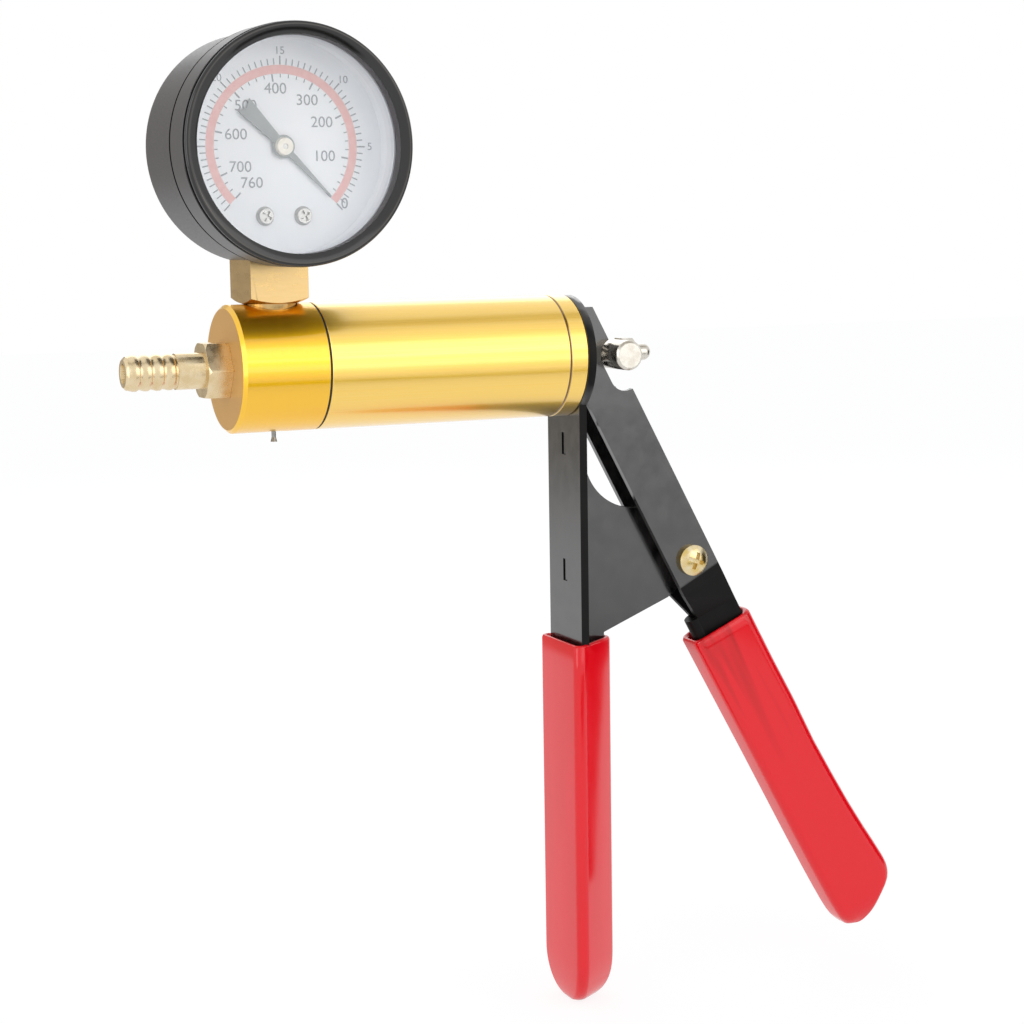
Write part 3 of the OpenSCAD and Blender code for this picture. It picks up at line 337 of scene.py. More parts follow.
# %% Satin black of the gauge's case
POWDER_MM = (0.4, 0.4, 0.4)
SATIN_GREY, SHADE_BLACK = "#4a494b", "#0c0c0c"
SHADE_START, SHADE_END = 10.9, 11.4
hub = Vector(joints["pointer_turn"]["pos_m"])
out = Vector(joints["pointer_turn"]["axis"]).normalized()
satin_black, tree, shader = finish("satin_black_powder_coat", SATIN_GREY, 0.0, 0.42, IOR=1.6)
grain(tree, shader, POWDER_MM, (0.36, 0.46), 0.005)
where = add(tree, "ShaderNodeTexCoord")
from_hub = add(tree, "ShaderNodeVectorMath", {"operation": "SUBTRACT", 1: hub}, {0: (where, "Object")})
forward = add(tree, "ShaderNodeVectorMath", {"operation": "DOT_PRODUCT", 1: out}, {0: (from_hub, 0)})
shade = add(tree, "ShaderNodeMapRange", {"From Min": SHADE_START * MM, "From Max": SHADE_END * MM},
            {"Value": (forward, "Value")})
colours = add(tree, "ShaderNodeValToRGB", {"stops": [(0.0, SATIN_GREY), (1.0, SHADE_BLACK)]},
              {"Fac": (shade, "Result")})
tree.links.new(colours.outputs["Color"], shader.inputs["Base Color"])
print("gauge centre:", [round(v, 4) for v in hub], "axis:", [round(v, 4) for v in out])

# %% [markdown]
# The ring in front of the case has a black enamel, rolled glossy on its face, so it mirrors the studio.
# Its side has the case's satin coat, and the normal tells the two apart: the face looks along the axis.

# %% Gloss black of the front ring
ENAMEL_BLACK, SIDE_ROUGHER = "#0b0b0b", 0.26
gloss_black, tree, shader = finish("black_enamel_rolled_ring", ENAMEL_BLACK, 0.0, 0.14, IOR=1.6)
where = add(tree, "ShaderNodeTexCoord")
facing = add(tree, "ShaderNodeVectorMath", {"operation": "DOT_PRODUCT", 1: out}, {0: (where, "Normal")})
side = add(tree, "ShaderNodeMapRange", {"From Min": 0.6, "From Max": 0.2}, {"Value": (facing, "Value")})
colours = add(tree, "ShaderNodeValToRGB", {"stops": [(0.0, ENAMEL_BLACK), (1.0, SATIN_GREY)]},
              {"Fac": (side, "Result")})
powder = blotches(tree, (where, "Object"), POWDER_MM, 3.0)
fine = add(tree, "ShaderNodeMapRange", {"To Min": 0.1, "To Max": 0.18}, {"Value": (powder, "Fac")})
dull = add(tree, "ShaderNodeMath", {"operation": "MULTIPLY_ADD", 1: SIDE_ROUGHER},
           {0: (side, "Result"), 2: (fine, "Result")})
tree.links.new(colours.outputs["Color"], shader.inputs["Base Color"])
tree.links.new(dull.outputs[0], shader.inputs["Roughness"])
print("the ring's side is rougher by", SIDE_ROUGHER)

# %% [markdown]
# The sleeves are vinyl: the warm handle is dipped in liquid plastisol, which hangs on as a thick glossy skin.
# The skin is wavy over about a centimetre, and more drawn out down the handle, so highlights on it waver.

# %% Dipped vinyl
VINYL_RED, VINYL_GLOSS = "#f3081c", (0.09, 0.16)
vinyl, tree, shader = finish("red_vinyl_dipped", VINYL_RED, 0.0, 0.12, IOR=1.53)
grain(tree, shader, (7, 7, 30), VINYL_GLOSS, 0.02, ("#f1061a", "#f60b20"), 1.0)

# %% [markdown]
# Small hardware is steel or brass with a thin plating, or bare metal where nobody looks.
# A plating copies the metal under it, so its shine is broken by tool marks a millimetre or two wide.

# %% Plated and bare hardware
# Bright nickel on the cross bar, its nut and the rod: a warm white mirror with soft dents.
nickel, tree, shader = finish("bright_nickel_plated_steel", "#d3cec4", 1.0, 0.2)
grain(tree, shader, (1.6, 1.6, 1.6), (0.14, 0.3), 0.004, ("#c4beb3", "#dcd8cf"))
# Yellow zinc on the pivot screw is never one colour: it drifts between straw and pale gold.
zinc, tree, shader = finish("yellow_zinc_passivated_steel", "#dcc68c", 1.0, 0.26)
grain(tree, shader, (2.2, 2.2, 2.2), (0.2, 0.34), 0.001, ("#d9bd78", "#e4d7b4"))
# Dull nickel on the release pin: plain grey.
dull_plate, tree, shader = finish("dull_nickel_plated_brass", "#8f8d89", 1.0, 0.3)
grain(tree, shader, (0.8, 0.8, 0.8), (0.26, 0.38), 0.001, ("#85837f", "#9a9893"))
# Ground steel on screws and springs: neutral grey with a broken shine.
steel, tree, shader = finish("plain_steel_ground", "#b4b4b2", 1.0, 0.3)
grain(tree, shader, (1.0, 1.0, 1.0), (0.26, 0.38), 0.001, ("#aeaeac", "#babab8"))
# Turned aluminium on the piston: cool grey with rings, drawn 0.3 mm apart as on the cap.
aluminium, tree, shader = finish("plain_aluminium_turned", "#b3b4b6", 1.0, 0.32)
grain(tree, shader, (0.3, 10, 10), (0.28, 0.38), 0.0008, ("#aeafb1", "#b8b9bb"))

# %% [markdown]
# Inside and between the metal are rubber seals and nylon bushes, moulded and left as they come.

# %% Rubber and nylon
# Rubber is matt and nearly black, with a faint bloom.
rubber, tree, shader = finish("black_rubber_moulded", "#141414", 0.0, 0.6, IOR=1.52)
grain(tree, shader, (0.8, 0.8, 0.8), (0.55, 0.7), 0.003, ("#101010", "#181818"))
# Nylon is milky and soft to the eye.
nylon, tree, shader = finish("natural_nylon_moulded", "#ddd8c8", 0.0, 0.45, IOR=1.53)
grain(tree, shader, (1.0, 1.0, 1.0), (0.4, 0.5), 0.002, ("#d8d2c1", "#e2ddce"))

# %% [markdown]
# The dial is thin steel with white stove enamel, and the pointer is enamelled grey with an ivory boss.
# Stoving flows the enamel out, so it is smooth and only half glossy, with a tint that hardly changes.

# %% Dial and pointer
# White enamel looks like cool paper.
white_enamel, tree, shader = finish("white_enamel_stoved_steel", "#eef1f6", 0.0, 0.4, IOR=1.5)
grain(tree, shader, (6, 6, 6), (0.36, 0.46), 0.0, ("#ecf0f5", "#f0f3f7"))
# Grey enamel lets the pointer stand out softly from the white.
pointer_grey, tree, shader = finish("grey_enamel_stamped_pointer", "#99a0a3", 0.0, 0.4, IOR=1.5)
grain(tree, shader, (1.5, 1.5, 1.5), (0.36, 0.46), 0.001, ("#949b9e", "#9ea5a8"))
# Ivory plastic is warm and a little glossy.
ivory, tree, shader = finish("ivory_plastic_moulded_boss", "#f1ede2", 0.0, 0.3, IOR=1.5)
grain(tree, shader, (1.0, 1.0, 1.0), (0.26, 0.36), 0.001, ("#eee9dd", "#f4f0e6"))

# %% [markdown]
# The window is clear acrylic, which the eye sees only by a faint reflection.
# A renderer would let it throw a hard shadow, so rays that only ask for shadow pass straight through it.

# %% Window
acrylic, tree, shader = finish("clear_acrylic_moulded", "#ffffff", 0.0, 0.0, IOR=1.49, Transmission_Weight=1.0)
grain(tree, shader, (8, 8, 8), (0.0, 0.02), 0.0)
path = add(tree, "ShaderNodeLightPath")
through = add(tree, "ShaderNodeBsdfTransparent")
split = add(tree, "ShaderNodeMixShader",
            links={0: (path, "Is Shadow Ray"), 1: (shader, "BSDF"), 2: (through, "BSDF")})
tree.links.new(split.outputs[0], tree.nodes["Material Output"].inputs["Surface"])
print("the window lets shadow rays through")

# %% [markdown]
# Now each CAD node gets its finish.
# The list is by node, because one metal can be finished in two ways, as the tube and the cap are.

# %% Finishes on the CAD nodes
wears = {
    gold_tube: ["barrel_tube", "rear_cap"],
    gold_cap: ["front_cap"],
    brass: ["hose_nipple", "release_body"],
    dull_plate: ["release_pin"],
    milled_brass: ["gauge_stem"],
    works_brass: ["bourdon_tube", "sector_gear", "movement_plates"],
    blacked: ["gusset_plate"],
    blacked_bar: ["handle_bar"],
    blacked_lever: ["lever"],
    satin_black: ["gauge_case"],
    gloss_black: ["gauge_bezel"],
    vinyl: ["front_grip", "rear_grip"],
    nickel: ["cross_pin", "rod_nut", "piston_rod"],
    zinc: ["pivot_screw", "pivot_nut"],
    steel: ["handle_screws", "dial_screws", "piston_washer", "piston_screw", "return_spring", "release_spring",
            "tube_link", "pinion", "hairspring"],
    aluminium: ["piston"],
    rubber: ["cap_seal", "inlet_valve", "piston_cup"],
    nylon: ["rod_bush", "pivot_spacers"],
    acrylic: ["gauge_lens"],
    white_enamel: ["gauge_dial"],
    pointer_grey: ["pointer"],
    ivory: ["pointer_hub"],
}
for material, names in wears.items():
    for name in names:
        nodes[name].data.materials.clear()
        nodes[name].data.materials.append(material)
print("nodes with a finish:", sum(len(names) for names in wears.values()), "of", len(nodes))

# %% [markdown]
# The dial's print lies on its face: a pink band, two scales and their numbers.
# Ink is only microns thick; the meshes float 0.03 mm over the enamel so that the two don't flicker together.
# All of it is drawn in the dial's own plane, in millimetres from the gauge's centre.
# Both scales run over 270 degrees: the inner one to 760, the outer one to 30.

# %% The dial's plane
DIAL_SHEET, INK_LIFT = 0.5, 0.03
SCALE_START, SCALE_SWEEP = -45, 270
INNER_FULL, OUTER_FULL = 760, 30
dial_up = Vector((0, 0, 1))
dial_right = dial_up.cross(out).normalized()
dial_back = min((v.co - hub).dot(out) for v in nodes["gauge_dial"].data.vertices) / MM
INK_HEIGHT = dial_back + DIAL_SHEET + INK_LIFT


def on_dial(x, y, height=INK_HEIGHT):
    return hub + (dial_right * x + dial_up * y + out * height) * MM


def angle_of(value, full=INNER_FULL):
    return math.radians(SCALE_START + SCALE_SWEEP * value / full)


print("dial centre:", [round(v, 4) for v in on_dial(0, 0)])

# %% [markdown]
# Bands and ticks are flat quads, and the numbers are Blender's own font turned into mesh.
# Each helper adds its faces to a bmesh that it is handed, so that one mesh can collect all of one ink.

# %% Helpers that draw in ink
NUMBER_STRETCH = 1.05


def band(bm, r0, r1, a0, a1, steps):
    rows = []
    for i in range(steps + 1):
        a = a0 + (a1 - a0) * i / steps
        rows.append([bm.verts.new(on_dial(r * math.cos(a), r * math.sin(a))) for r in (r0, r1)])
    for (p, q), (s, t) in zip(rows, rows[1:]):
        bm.faces.new((p, q, t, s))


def tick(bm, a, r0, r1, width):
    across = width / 2
    c, s = math.cos(a), math.sin(a)
    bm.faces.new([bm.verts.new(on_dial(r * c - w * s, r * s + w * c))
                  for r, w in ((r0, -across), (r1, -across), (r1, across), (r0, across))])


def number(bm, text, x, y, size):
    words = bpy.data.curves.new("number", "FONT")
    words.body, words.size, words.align_x, words.align_y = text, size, "CENTER", "CENTER"
    holder = bpy.data.objects.new("number", words)
    scene.collection.objects.link(holder)
    drawn = holder.evaluated_get(bpy.context.evaluated_depsgraph_get()).to_mesh()
    verts = [bm.verts.new(on_dial(x + NUMBER_STRETCH * v.co.x, y + v.co.y)) for v in drawn.vertices]
    for face in drawn.polygons:
        bm.faces.new([verts[i] for i in face.vertices])
    bpy.data.objects.remove(holder)
    bpy.data.curves.remove(words)


print("degrees for each 100 on the inner scale:", round(math.degrees(angle_of(100) - angle_of(0)), 1))

# %% [markdown]
# Every piece that is made here ends in the same way, whether it is print, a sleeve or a spring.
# Its bmesh becomes an object with a finish and rides on a CAD body.

# %% From bmesh to a piece that rides
def piece(bm, name, material, body, smooth=False):
    mesh = bpy.data.meshes.new(name)
    bm.to_mesh(mesh)
    bm.free()
    for face in mesh.polygons:
        face.use_smooth = smooth
    mesh.materials.append(material)
    obj = bpy.data.objects.new(name, mesh)
    scene.collection.objects.link(obj)
    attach(obj, body)
    print("piece:", name, len(mesh.polygons), "faces on", body)
    return obj


# %% [markdown]
# Pad printing presses ink on with a soft pad. The film is thin, so it looks matt and slightly uneven,
# and the white enamel under it makes every ink paler: pink for the band, two greys for the scales.

# %% Printing inks
INK_MM, INK_GLOSS = (1.0, 1.0, 1.0), (0.45, 0.55)
inks = []
for name, colour, tints in (("pink_ink_pad_printed", "#ecb9b7", ("#e9b3b1", "#efc0be")),
                            ("grey_ink_pad_printed", "#959aa1", ("#8e939b", "#9da2aa")),
                            ("pale_grey_ink_pad_printed", "#9ba1a8", ("#949aa3", "#a4a9b0"))):
    ink, tree, shader = finish(name, colour, 0.0, 0.5, IOR=1.5)
    grain(tree, shader, INK_MM, INK_GLOSS, 0.0, tints)
    inks.append(ink)
pink_ink, grey_ink, faint_ink = inks

# %% [markdown]
# One mesh collects each ink, so the print is three pieces: the band, the scales and the faint outer scale.
# The inner numbers stand where the photograph has them, which isn't always in line with their ticks.
# Ticks grow away from the band: each kind is given by the radius of its free end and by its width.

# %% Print the dial
BAND_IN, BAND_OUT = 15.55, 17.4
INNER_FOOT, INNER_MAJOR, INNER_MINOR = 15.5, (13.9, 0.36), (14.7, 0.22)
OUTER_FOOT, OUTER_MAJOR, OUTER_MINOR = 17.45, (19.3, 0.3), (18.8, 0.26)
INNER_SIZE, OUTER_SIZE = 3.3, 2.3
OUTER_NUMBER_X, OUTER_NUMBER_Y = 20.5, 20.4
INNER_NUMBERS = ((0, 14.2, -12.4), (100, 9.7, -2.1), (200, 9.3, 5.2), (300, 6.0, 9.9), (400, -1.2, 12.3),
                 (500, -8.1, 8.6), (600, -10.5, 2.5), (700, -9.7, -4.4), (760, -7.2, -7.8))

bm = bmesh.new()
band(bm, BAND_IN, BAND_OUT, angle_of(0), angle_of(INNER_FULL), 96)
piece(bm, "dial_band", pink_ink, "pump")

bm = bmesh.new()
for value in range(0, INNER_FULL + 1, 20):
    end, width = INNER_MAJOR if value % 100 == 0 or value == INNER_FULL else INNER_MINOR
    tick(bm, angle_of(value), end, INNER_FOOT, width)
for value, x, y in INNER_NUMBERS:
    number(bm, str(value), x, y, INNER_SIZE)
for value in range(0, OUTER_FULL + 1, 5):
    tick(bm, angle_of(value, OUTER_FULL), OUTER_FOOT, *OUTER_MAJOR)
piece(bm, "dial_scale", grey_ink, "pump")

bm = bmesh.new()
for half in range(2 * OUTER_FULL + 1):
    if half % 10:
        tick(bm, angle_of(half, 2 * OUTER_FULL), OUTER_FOOT, *OUTER_MINOR)
for value in range(5, OUTER_FULL, 5):
    a = angle_of(value, OUTER_FULL)
    number(bm, str(value), OUTER_NUMBER_X * math.cos(a), OUTER_NUMBER_Y * math.sin(a), OUTER_SIZE)
piece(bm, "dial_outer_scale", faint_ink, "pump")

# %% [markdown]
# The gauge's front ring is sheet steel, rolled over the window on a lathe.
# From the back it has a thin seam line, a plain side, a groove, a rolled bead and a face that slopes inwards.
# The seam and the groove read as black lines because they mirror only themselves, and the slope keeps the
# face dark. The CAD ring is flat in front, so a profile of radius and height is swept round the axis instead.

# %% Sweep a profile round the gauge's axis
def turned(profile, steps):
    bm = bmesh.new()
    rows = []
    for i in range(steps):
        a = 2 * math.pi * i / steps
        rows.append([bm.verts.new(on_dial(r * math.cos(a), r * math.sin(a), height)) for r, height in profile])
    for near, far in zip(rows, rows[1:] + rows[:1]):
        for j in range(len(profile)):
            k = (j + 1) % len(profile)
            bm.faces.new((near[j], near[k], far[k], far[j]))
    bmesh.ops.recalc_face_normals(bm, faces=bm.faces)
    return bm


print("a profile is swept round", [round(v, 3) for v in out])

# %% [markdown]
# The profile is a list of points, each a radius and a height in millimetres, in order round the ring's section.
# The bead is an arc that starts low in the groove and ends where the sloping face takes over.

# %% Turn the front ring
RING_BACK, RING_FRONT, RING_OUT, RING_IN, LIP = 11.6, 22.69, 25.89, 24.9, 23.0
SEAM, GROOVE, GROOVE_DEEP, EDGE = 12.0, 20.6, 0.5, 0.15
SEAT_R, SEAT_BACK, SEAT_FRONT = 24.5, 17.5, 19.3
BEAD_R, BEAD_STEPS, BEAD_INSET = 0.7, 12, 0.1
BEAD_START, SLOPE = math.radians(-60), math.radians(20)
bead_mid, bead_height = RING_OUT - BEAD_INSET - BEAD_R, RING_FRONT - BEAD_R
bead_sweep = math.radians(90) - BEAD_START + SLOPE
bead = []
for i in range(BEAD_STEPS + 1):
    a = BEAD_START + bead_sweep * i / BEAD_STEPS
    bead.append((bead_mid + BEAD_R * math.cos(a), bead_height + BEAD_R * math.sin(a)))
face_end = bead[-1][1] - (bead[-1][0] - LIP - 0.2) * math.tan(SLOPE)
floor_r = RING_OUT - GROOVE_DEEP
profile = [
    (RING_IN, RING_BACK), (RING_OUT - EDGE, RING_BACK), (RING_OUT, RING_BACK + EDGE),
    (RING_OUT, SEAM), (floor_r, SEAM + 0.05), (floor_r, SEAM + 0.7), (RING_OUT, SEAM + 0.8),
    (RING_OUT, GROOVE - EDGE), (RING_OUT - EDGE, GROOVE), (floor_r, GROOVE), (floor_r, GROOVE + 0.5),
    *bead,
    (LIP + 0.2, face_end), (LIP + 0.05, face_end - 0.1), (LIP, face_end - 0.3),
    (LIP, SEAT_FRONT), (SEAT_R, SEAT_FRONT), (SEAT_R, SEAT_BACK), (RING_IN, SEAT_BACK),
]
ring = piece(turned(profile, 192), "rolled_front_ring", gloss_black, "pump", True)
ring.data.set_sharp_from_angle(angle=math.radians(35))
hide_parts("gauge_bezel")

# %% [markdown]
# A dipped sleeve has one continuous skin, so each is lofted: rings of points are joined by quads.
# A ring is the outline round a few corner circles, found by asking, for each direction, which circle
# reaches furthest. The rim is rolled over and goes a little way down inside, so that the sleeve reads as a
# hollow skin, and the far end is closed.

# %% Rings round corner circles
SIDES = 96


def outline(circles):
    ring = []
    for i in range(SIDES):
        a = 2 * math.pi * (i + 0.5) / SIDES
        u = (math.cos(a), math.sin(a))
        x, y, r = max(circles, key=lambda c: c[0] * u[0] + c[1] * u[1] + c[2])
        ring.append((x + r * u[0], y + r * u[1]))
    return ring


def loft(rings):
    bm = bmesh.new()
    rows = [[bm.verts.new(p) for p in ring] for ring in rings]
    for upper, lower in zip(rows, rows[1:]):
        for i in range(SIDES):
            j = (i + 1) % SIDES
            bm.faces.new((upper[i], lower[i], lower[j], upper[j]))
    bm.faces.new(list(reversed(rows[-1])))
    bmesh.ops.recalc_face_normals(bm, faces=bm.faces)
    return bm


print("points in a ring:", SIDES)

# %% [markdown]
# The front sleeve covers the flat bar and the strip of gusset behind it, so its section is a flat front
# with a blunt ridge at the back. Below the bar it closes in a smooth half-oval.
# Each rim ring is given by how far it lies below the rim and how far it is drawn in from the skin.

# %% Front sleeve
RIM, BEND, DROP = -68.5, -146.6, 11.7
FACE_X, FACE_TUCK, HALF_FLAT, CORNER_R = 88.2, 2.2, 8.3, 1.8
RIDGE_X, RIDGE_REACH, RIDGE_R = 91.3, 5.85, 3.0
FRONT_RIM = ((6.0, 1.25), (0.7, 1.25), (0.15, 1.05), (0.0, 0.7), (0.15, 0.25), (0.7, 0.0))
BELOW_RIM = 0.7


def front_ring(z, drawn_in=0.0, end=0.0):
    keep = math.sqrt(max(0.0, 1 - end * end))
    corner = max(CORNER_R - drawn_in, 0.3)
    face = FACE_X + FACE_TUCK * (1 - keep)
    ridge = RIDGE_X + RIDGE_REACH * math.sqrt(max(0.0, 1 - end ** 3.4))
    ridge_r = max(RIDGE_R * (0.45 + 0.55 * keep) - drawn_in, 0.4)
    circles = [(face, HALF_FLAT * keep, corner), (face, -HALF_FLAT * keep, corner), (ridge, 0.0, ridge_r)]
    return [Vector((x, y, z)) * MM for x, y in outline(circles)]


rings = [front_ring(RIM - below, drawn_in) for below, drawn_in in FRONT_RIM]
rings += [front_ring(RIM - BELOW_RIM + (BEND - RIM + BELOW_RIM) * i / 12) for i in range(1, 13)]
for i in range(1, 16):
    end = math.sin(math.radians(90 * i / 16))
    rings.append(front_ring(BEND - DROP * end, 0.0, end))
front_sleeve = piece(loft(rings), "front_sleeve", vinyl, "pump", True)
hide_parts("front_grip")

# %% [markdown]
# The rear sleeve's vinyl is the same, but near the rim darker red streaks run along the lever, painted
# reflections of dark surroundings, so the noise is stretched along the lever's lean.

# %% Vinyl of the rear sleeve
STREAK_MM, STREAK_LIFT_MM = (2.6, 20, 45), 0.03
STREAKS_FROM, STREAKS_TO = 24, 62
REFLECTION_DARK_RED = "#d40313"
pivot_height = PIVOT.dot(along_up)
rear_vinyl, tree, shader = finish("red_vinyl_dipped_with_painted_streaks", VINYL_RED, 0.0, 0.12, IOR=1.53)
where = add(tree, "ShaderNodeTexCoord")
leaned = add(tree, "ShaderNodeMapping", {"Rotation": (0, LEAN, 0)}, {"Vector": (where, "Object")})
streaks = blotches(tree, (leaned, "Vector"), STREAK_MM, 1.0)
even = add(tree, "ShaderNodeMapRange", {**NOISE, "To Min": VINYL_GLOSS[0], "To Max": VINYL_GLOSS[1]},
           {"Value": (streaks, "Fac")})
height = add(tree, "ShaderNodeSeparateXYZ", links={0: (leaned, "Vector")})
near_rim = add(tree, "ShaderNodeMapRange",
               {"From Min": pivot_height - STREAKS_TO * MM, "From Max": pivot_height - STREAKS_FROM * MM},
               {"Value": (height, "Z")})
# Painted reflection: near the rim, where the streak noise is high, the red turns darker.
dark_streak = add(tree, "ShaderNodeMapRange", {"From Min": 0.52, "From Max": 0.66}, {"Value": (streaks, "Fac")})
painted_streaks = add(tree, "ShaderNodeMath", {"operation": "MULTIPLY"}, {0: (near_rim, "Result"), 1: (dark_streak, "Result")})
colours = add(tree, "ShaderNodeValToRGB", {"stops": [(0.0, VINYL_RED), (1.0, REFLECTION_DARK_RED)]}, {"Fac": (painted_streaks, 0)})
bump = add(tree, "ShaderNodeBump", {"Strength": 1.0, "Distance": STREAK_LIFT_MM * MM},
           {"Height": (streaks, "Fac")})
for source, socket in ((colours, "Base Color"), (even, "Roughness"), (bump, "Normal")):
    tree.links.new(source.outputs[0], shader.inputs[socket])
print("dark streaks are painted down to", STREAKS_TO, "mm below the pivot")

# %% [markdown]
# The rear sleeve follows the folded lever: a flat narrow face in front, wider at the back.
# Towards its end the back swells out for the little finger, and the end is cut on a slant and rounded.
# Two lists give how far the skin stands before and behind the lever's line at each height below the pivot.

# %% Rear sleeve
REAR_FRONT = [(-19.5, 8.5), (-35, 8.2), (-55, 7.8), (-80, 7.45), (-92, 7.2), (-98, 7.0), (-103, 6.75),
              (-106, 6.5), (-108, 6.2), (-110, 5.5), (-111, 4.8), (-111.8, 3.8), (-112.3, 2.6), (-112.7, 1.0)]
REAR_BACK = [(-19.5, 8.2), (-35, 8.3), (-47, 8.6), (-60, 8.5), (-70, 8.95), (-80, 9.55), (-88, 10.3),
             (-94, 11.0), (-99.4, 11.55), (-102, 11.5), (-104.3, 10.7), (-106, 9.0), (-107.4, 7.1),
             (-109, 5.3), (-110.5, 3.7), (-111.6, 2.1), (-112.3, 0.7), (-112.7, -0.2)]
REAR_RIM = ((-25.5, 1.3), (-20.2, 1.3), (-19.65, 1.1), (-19.5, 0.7), (-19.65, 0.25), (-20.2, 0.0))
HALF_FRONT, HALF_BACK, FRONT_R, BACK_R = 4.6, 6.2, 2.2, 2.6
NARROWS_AT, NARROWS_OVER = 104.5, 8.3
BODY_TOP, BODY_LONG, END_TOP, END_LONG = -20.2, 78.8, -99.0, 13.6


def along(stops, z):
    for (za, a), (zb, b) in zip(stops, stops[1:]):
        if z >= zb:
            return a + (b - a) * (za - z) / (za - zb)
    return stops[-1][1]


def rear_ring(z, drawn_in=0.0):
    front, rear = along(REAR_FRONT, z) - drawn_in, along(REAR_BACK, z) - drawn_in
    narrow = math.sqrt(max(0.02, 1 - max(0.0, (-z - NARROWS_AT) / NARROWS_OVER) ** 2.2))
    half_front, half_back = HALF_FRONT * narrow - drawn_in, HALF_BACK * narrow - drawn_in
    rf = max(min(FRONT_R, half_front * 0.95, (front + rear) * 0.48), 0.2)
    rb = max(min(BACK_R, half_back * 0.95, (front + rear) * 0.48), 0.2)
    circles = []
    for side in (-1, 1):
        circles.append((rf - front, side * (half_front - rf), rf))
        circles.append((rear - rb, side * (half_back - rb), rb))
    return [PIVOT + (along_back * x + Vector((0, y, 0)) + along_up * z) * MM for x, y in outline(circles)]


rings = [rear_ring(z, drawn_in) for z, drawn_in in REAR_RIM]
rings += [rear_ring(BODY_TOP - BODY_LONG * i / 32) for i in range(1, 33)]
rings += [rear_ring(END_TOP - END_LONG * math.sin(math.radians(90 * i / 18))) for i in range(1, 19)]
rear_sleeve = piece(loft(rings), "rear_sleeve", rear_vinyl, "lever", True)
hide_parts("rear_grip")

# %% [markdown]
# Two coil springs work out of sight: one pushes the piston back, one closes the release.
# A CAD solid can't shorten, so each is wound again here, filling the box of its CAD node.

# %% Wind a coil spring
STEPS_A_TURN, WIRE_SIDES = 36, 10


def coil(low, high, axis, wire, turns):
    u, w = [i for i in range(3) if i != axis]
    mean_r = (high[u] - low[u] - wire) / 2
    count = int(turns * STEPS_A_TURN)
    bm = bmesh.new()
    rows = []
    for i in range(count + 1):
        a = 2 * math.pi * turns * i / count
        row = []
        for j in range(WIRE_SIDES):
            b = 2 * math.pi * j / WIRE_SIDES
            r = mean_r + wire / 2 * math.cos(b)
            spot = [0.0, 0.0, 0.0]
            spot[u] = (low[u] + high[u]) / 2 + r * math.cos(a)
            spot[w] = (low[w] + high[w]) / 2 + r * math.sin(a)
            spot[axis] = low[axis] + wire / 2 * (1 + math.sin(b)) + (high[axis] - low[axis] - wire) * i / count
            row.append(bm.verts.new(spot))
        rows.append(row)
    for near, far in zip(rows, rows[1:]):
        for j in range(WIRE_SIDES):
            k = (j + 1) % WIRE_SIDES
            bm.faces.new((near[j], near[k], far[k], far[j]))
    bm.faces.new(rows[0])
    bm.faces.new(rows[-1])
    bmesh.ops.recalc_face_normals(bm, faces=bm.faces)
    return bm


def wound(node, axis, wire, turns):
    low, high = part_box(node)
    spring = piece(coil(low, high, axis, wire, turns), node + "_wound", steel, "pump", True)
    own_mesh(spring)
    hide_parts(node)


wound("return_spring", 0, 1.5 * MM, 5.5)
wound("release_spring", 2, 0.28 * MM, 5)

# %% [markdown]
# Edges that are knife sharp look computed, because no real edge is.
# A bevel modifier rounds the sharp edges of the sheet metal, the milled brass and the hardware by a fraction
# of a millimetre. A weld before it joins the points that the CAD mesh has twice along an edge.

# %% Soften the sharp edges
WELD_MM, SHARP = 0.002, math.radians(35)
soft_edges = {"handle_bar": 0.25, "gusset_plate": 0.25, "lever": 0.3, "gauge_stem": 0.2, "hose_nipple": 0.15,
              "rod_nut": 0.12, "cross_pin": 0.1, "pivot_nut": 0.12}
for name, width in soft_edges.items():
    weld = nodes[name].modifiers.new("weld", "WELD")
    weld.merge_threshold = WELD_MM * MM
    soft = nodes[name].modifiers.new("soft_edges", "BEVEL")
    soft.width, soft.segments, soft.limit_method, soft.angle_limit = width * MM, 2, "ANGLE", SHARP
    soft.harden_normals = True
print("bevelled nodes:", len(soft_edges))

# %% [markdown]
# The studio is a pale floor that runs into a white background.
# What the camera sees directly, or in a reflection or through the window, is plain white,
# while the light that falls on the pump is a softer, slightly cool fill.

# %% White background
FILL_LIGHT = 0.68


def seen_directly(tree):
    path = add(tree, "ShaderNodeLightPath")
    seen = add(tree, "ShaderNodeMath", {"operation": "ADD"},
               {0: (path, "Is Camera Ray"), 1: (path, "Is Glossy Ray")})
    return add(tree, "ShaderNodeMath", {"operation": "ADD", "use_clamp": True},
               {0: (seen, 0), 1: (path, "Is Transmission Ray")})


scene.view_settings.view_transform = "Standard"
world = bpy.data.worlds.new("studio")
scene.world = world
world.use_nodes = True
tree = world.node_tree
tree.nodes.clear()
fill = add(tree, "ShaderNodeBackground", {"Color": linear("#f4f6fa"), "Strength": FILL_LIGHT})
white = add(tree, "ShaderNodeBackground", {"Color": linear("#ffffff"), "Strength": 1.0})
both = add(tree, "ShaderNodeMixShader", links={0: (seen_directly(tree), 0), 1: (fill, 0), 2: (white, 0)})
add(tree, "ShaderNodeOutputWorld", links={"Surface": (both, 0)})
print("fill light:", FILL_LIGHT)

# %% [markdown]
# The floor is a sheet of white paper. To the camera it glows white by four fifths, and the last fifth is
# its own shading, so that the shadow stays. The floor touches the lowest point of the part.

# %% Floor
GLOW_SHARE, GLOW = 0.8, 1.09
FLOOR_SIZE = 6


